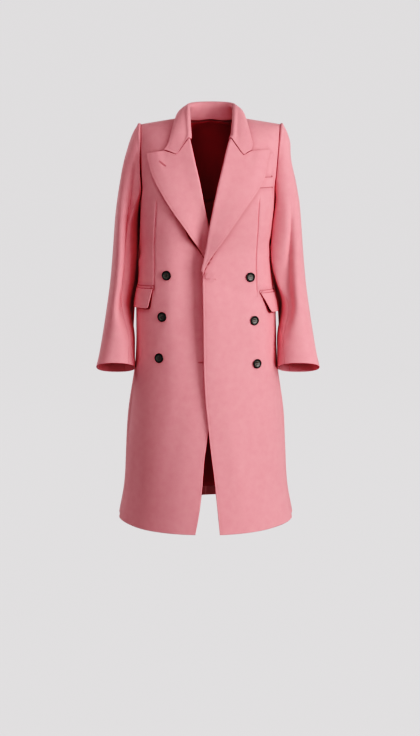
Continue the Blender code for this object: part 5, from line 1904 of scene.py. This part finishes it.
# %% Lights
AIM = np.array([0.0, 0.0, -0.45])
LIGHTS = {
    "key": (54, 12, 3.6, (2.0, 2.2), 99),
    "front": (2, 18, 4.2, (3.0, 3.0), 31),
    "high_left": (-35, 55, 3.8, (2.0, 2.0), 17),
    "low_left": (-48, -14, 3.4, (2.0, 1.6), 10),
    "rim_left": (-140, 14, 3.4, (1.6, 2.4), 40),
    "rim_right": (140, 14, 3.4, (1.6, 2.4), 30),
}


def soft_light(name, around, above, far, size, power):
    """A soft light that aims at the coat: around counts from the front towards the wearer's left."""
    round_it, up = math.radians(around), math.radians(above)
    aside, ahead = math.sin(round_it) * math.cos(up), -math.cos(round_it) * math.cos(up)
    data = bpy.data.lights.new(name, "AREA")
    data.shape = "RECTANGLE"
    data.size, data.size_y = size
    data.energy = power
    lamp = put_in_scene(name, data)
    lamp.location = AIM + far * np.array([aside, ahead, math.sin(up)])
    lamp.rotation_euler = (math.pi / 2 - up, 0, round_it)


for name, values in LIGHTS.items():
    soft_light(name, *values)

world = bpy.data.worlds.new("pale room")
world.use_nodes = True
world.node_tree.nodes["Background"].inputs[0].default_value = (0.170, 0.158, 0.160, 1)
bpy.context.scene.world = world

print("lights:", ", ".join(LIGHTS))

# %% Floor and backdrop
PALE = (0.665, 0.652, 0.658, 1)
FLOOR_Z = -1.43
CEILING_Z = 9.0
FAR = 14.0


def backdrop(name, points, faces):
    """A pale face that the camera sees and that neither lights nor shades the coat."""
    material, tree, shader = new_material(name)
    shader.inputs["Base Color"].default_value = (0.02, 0.02, 0.02, 1)
    shader.inputs["Roughness"].default_value = 1.0
    shader.inputs["Specular IOR Level"].default_value = 0.0
    shader.inputs["Emission Color"].default_value = PALE
    shader.inputs["Emission Strength"].default_value = 1.0
    mesh = bpy.data.meshes.new(name)
    mesh.from_pydata(points, [], faces)
    mesh.materials.append(material)
    screen = put_in_scene(name, mesh)
    screen.visible_diffuse = False
    screen.visible_glossy = False
    screen.visible_shadow = False
    print(f"{name}: {len(faces)} faces")


square = ((-FAR, -FAR), (FAR, -FAR), (FAR, FAR), (-FAR, FAR))
corners = [(x, y, z) for z in (FLOOR_Z, CEILING_Z) for x, y in square]
backdrop("pale_floor", corners[:4], [(0, 1, 2, 3)])
backdrop("pale_walls", corners, [(0, 4, 5, 1), (1, 5, 6, 2), (2, 6, 7, 3), (3, 7, 4, 0), (4, 7, 6, 5)])

# %% Tone
view = bpy.context.scene.view_settings
view.view_transform = "Standard"
view.use_curve_mapping = True
tone = view.curve_mapping
TONE = (
    (0.0, 0.0),
    (0.04, 0.006),
    (0.08, 0.023),
    (0.142, 0.096),
    (0.25, 0.247),
    (0.335, 0.36),
    (0.5, 0.56),
    (0.8, 0.86),
    (1.0, 1.0),
)
curve = tone.curves[3]
while len(curve.points) > 2:
    curve.points.remove(curve.points[1])
curve.points[0].location = TONE[0]
curve.points[-1].location = TONE[-1]
for dark, shown in TONE[1:-1]:
    curve.points.new(dark, shown)
tone.update()
print("tone curve:", len(curve.points), "points")
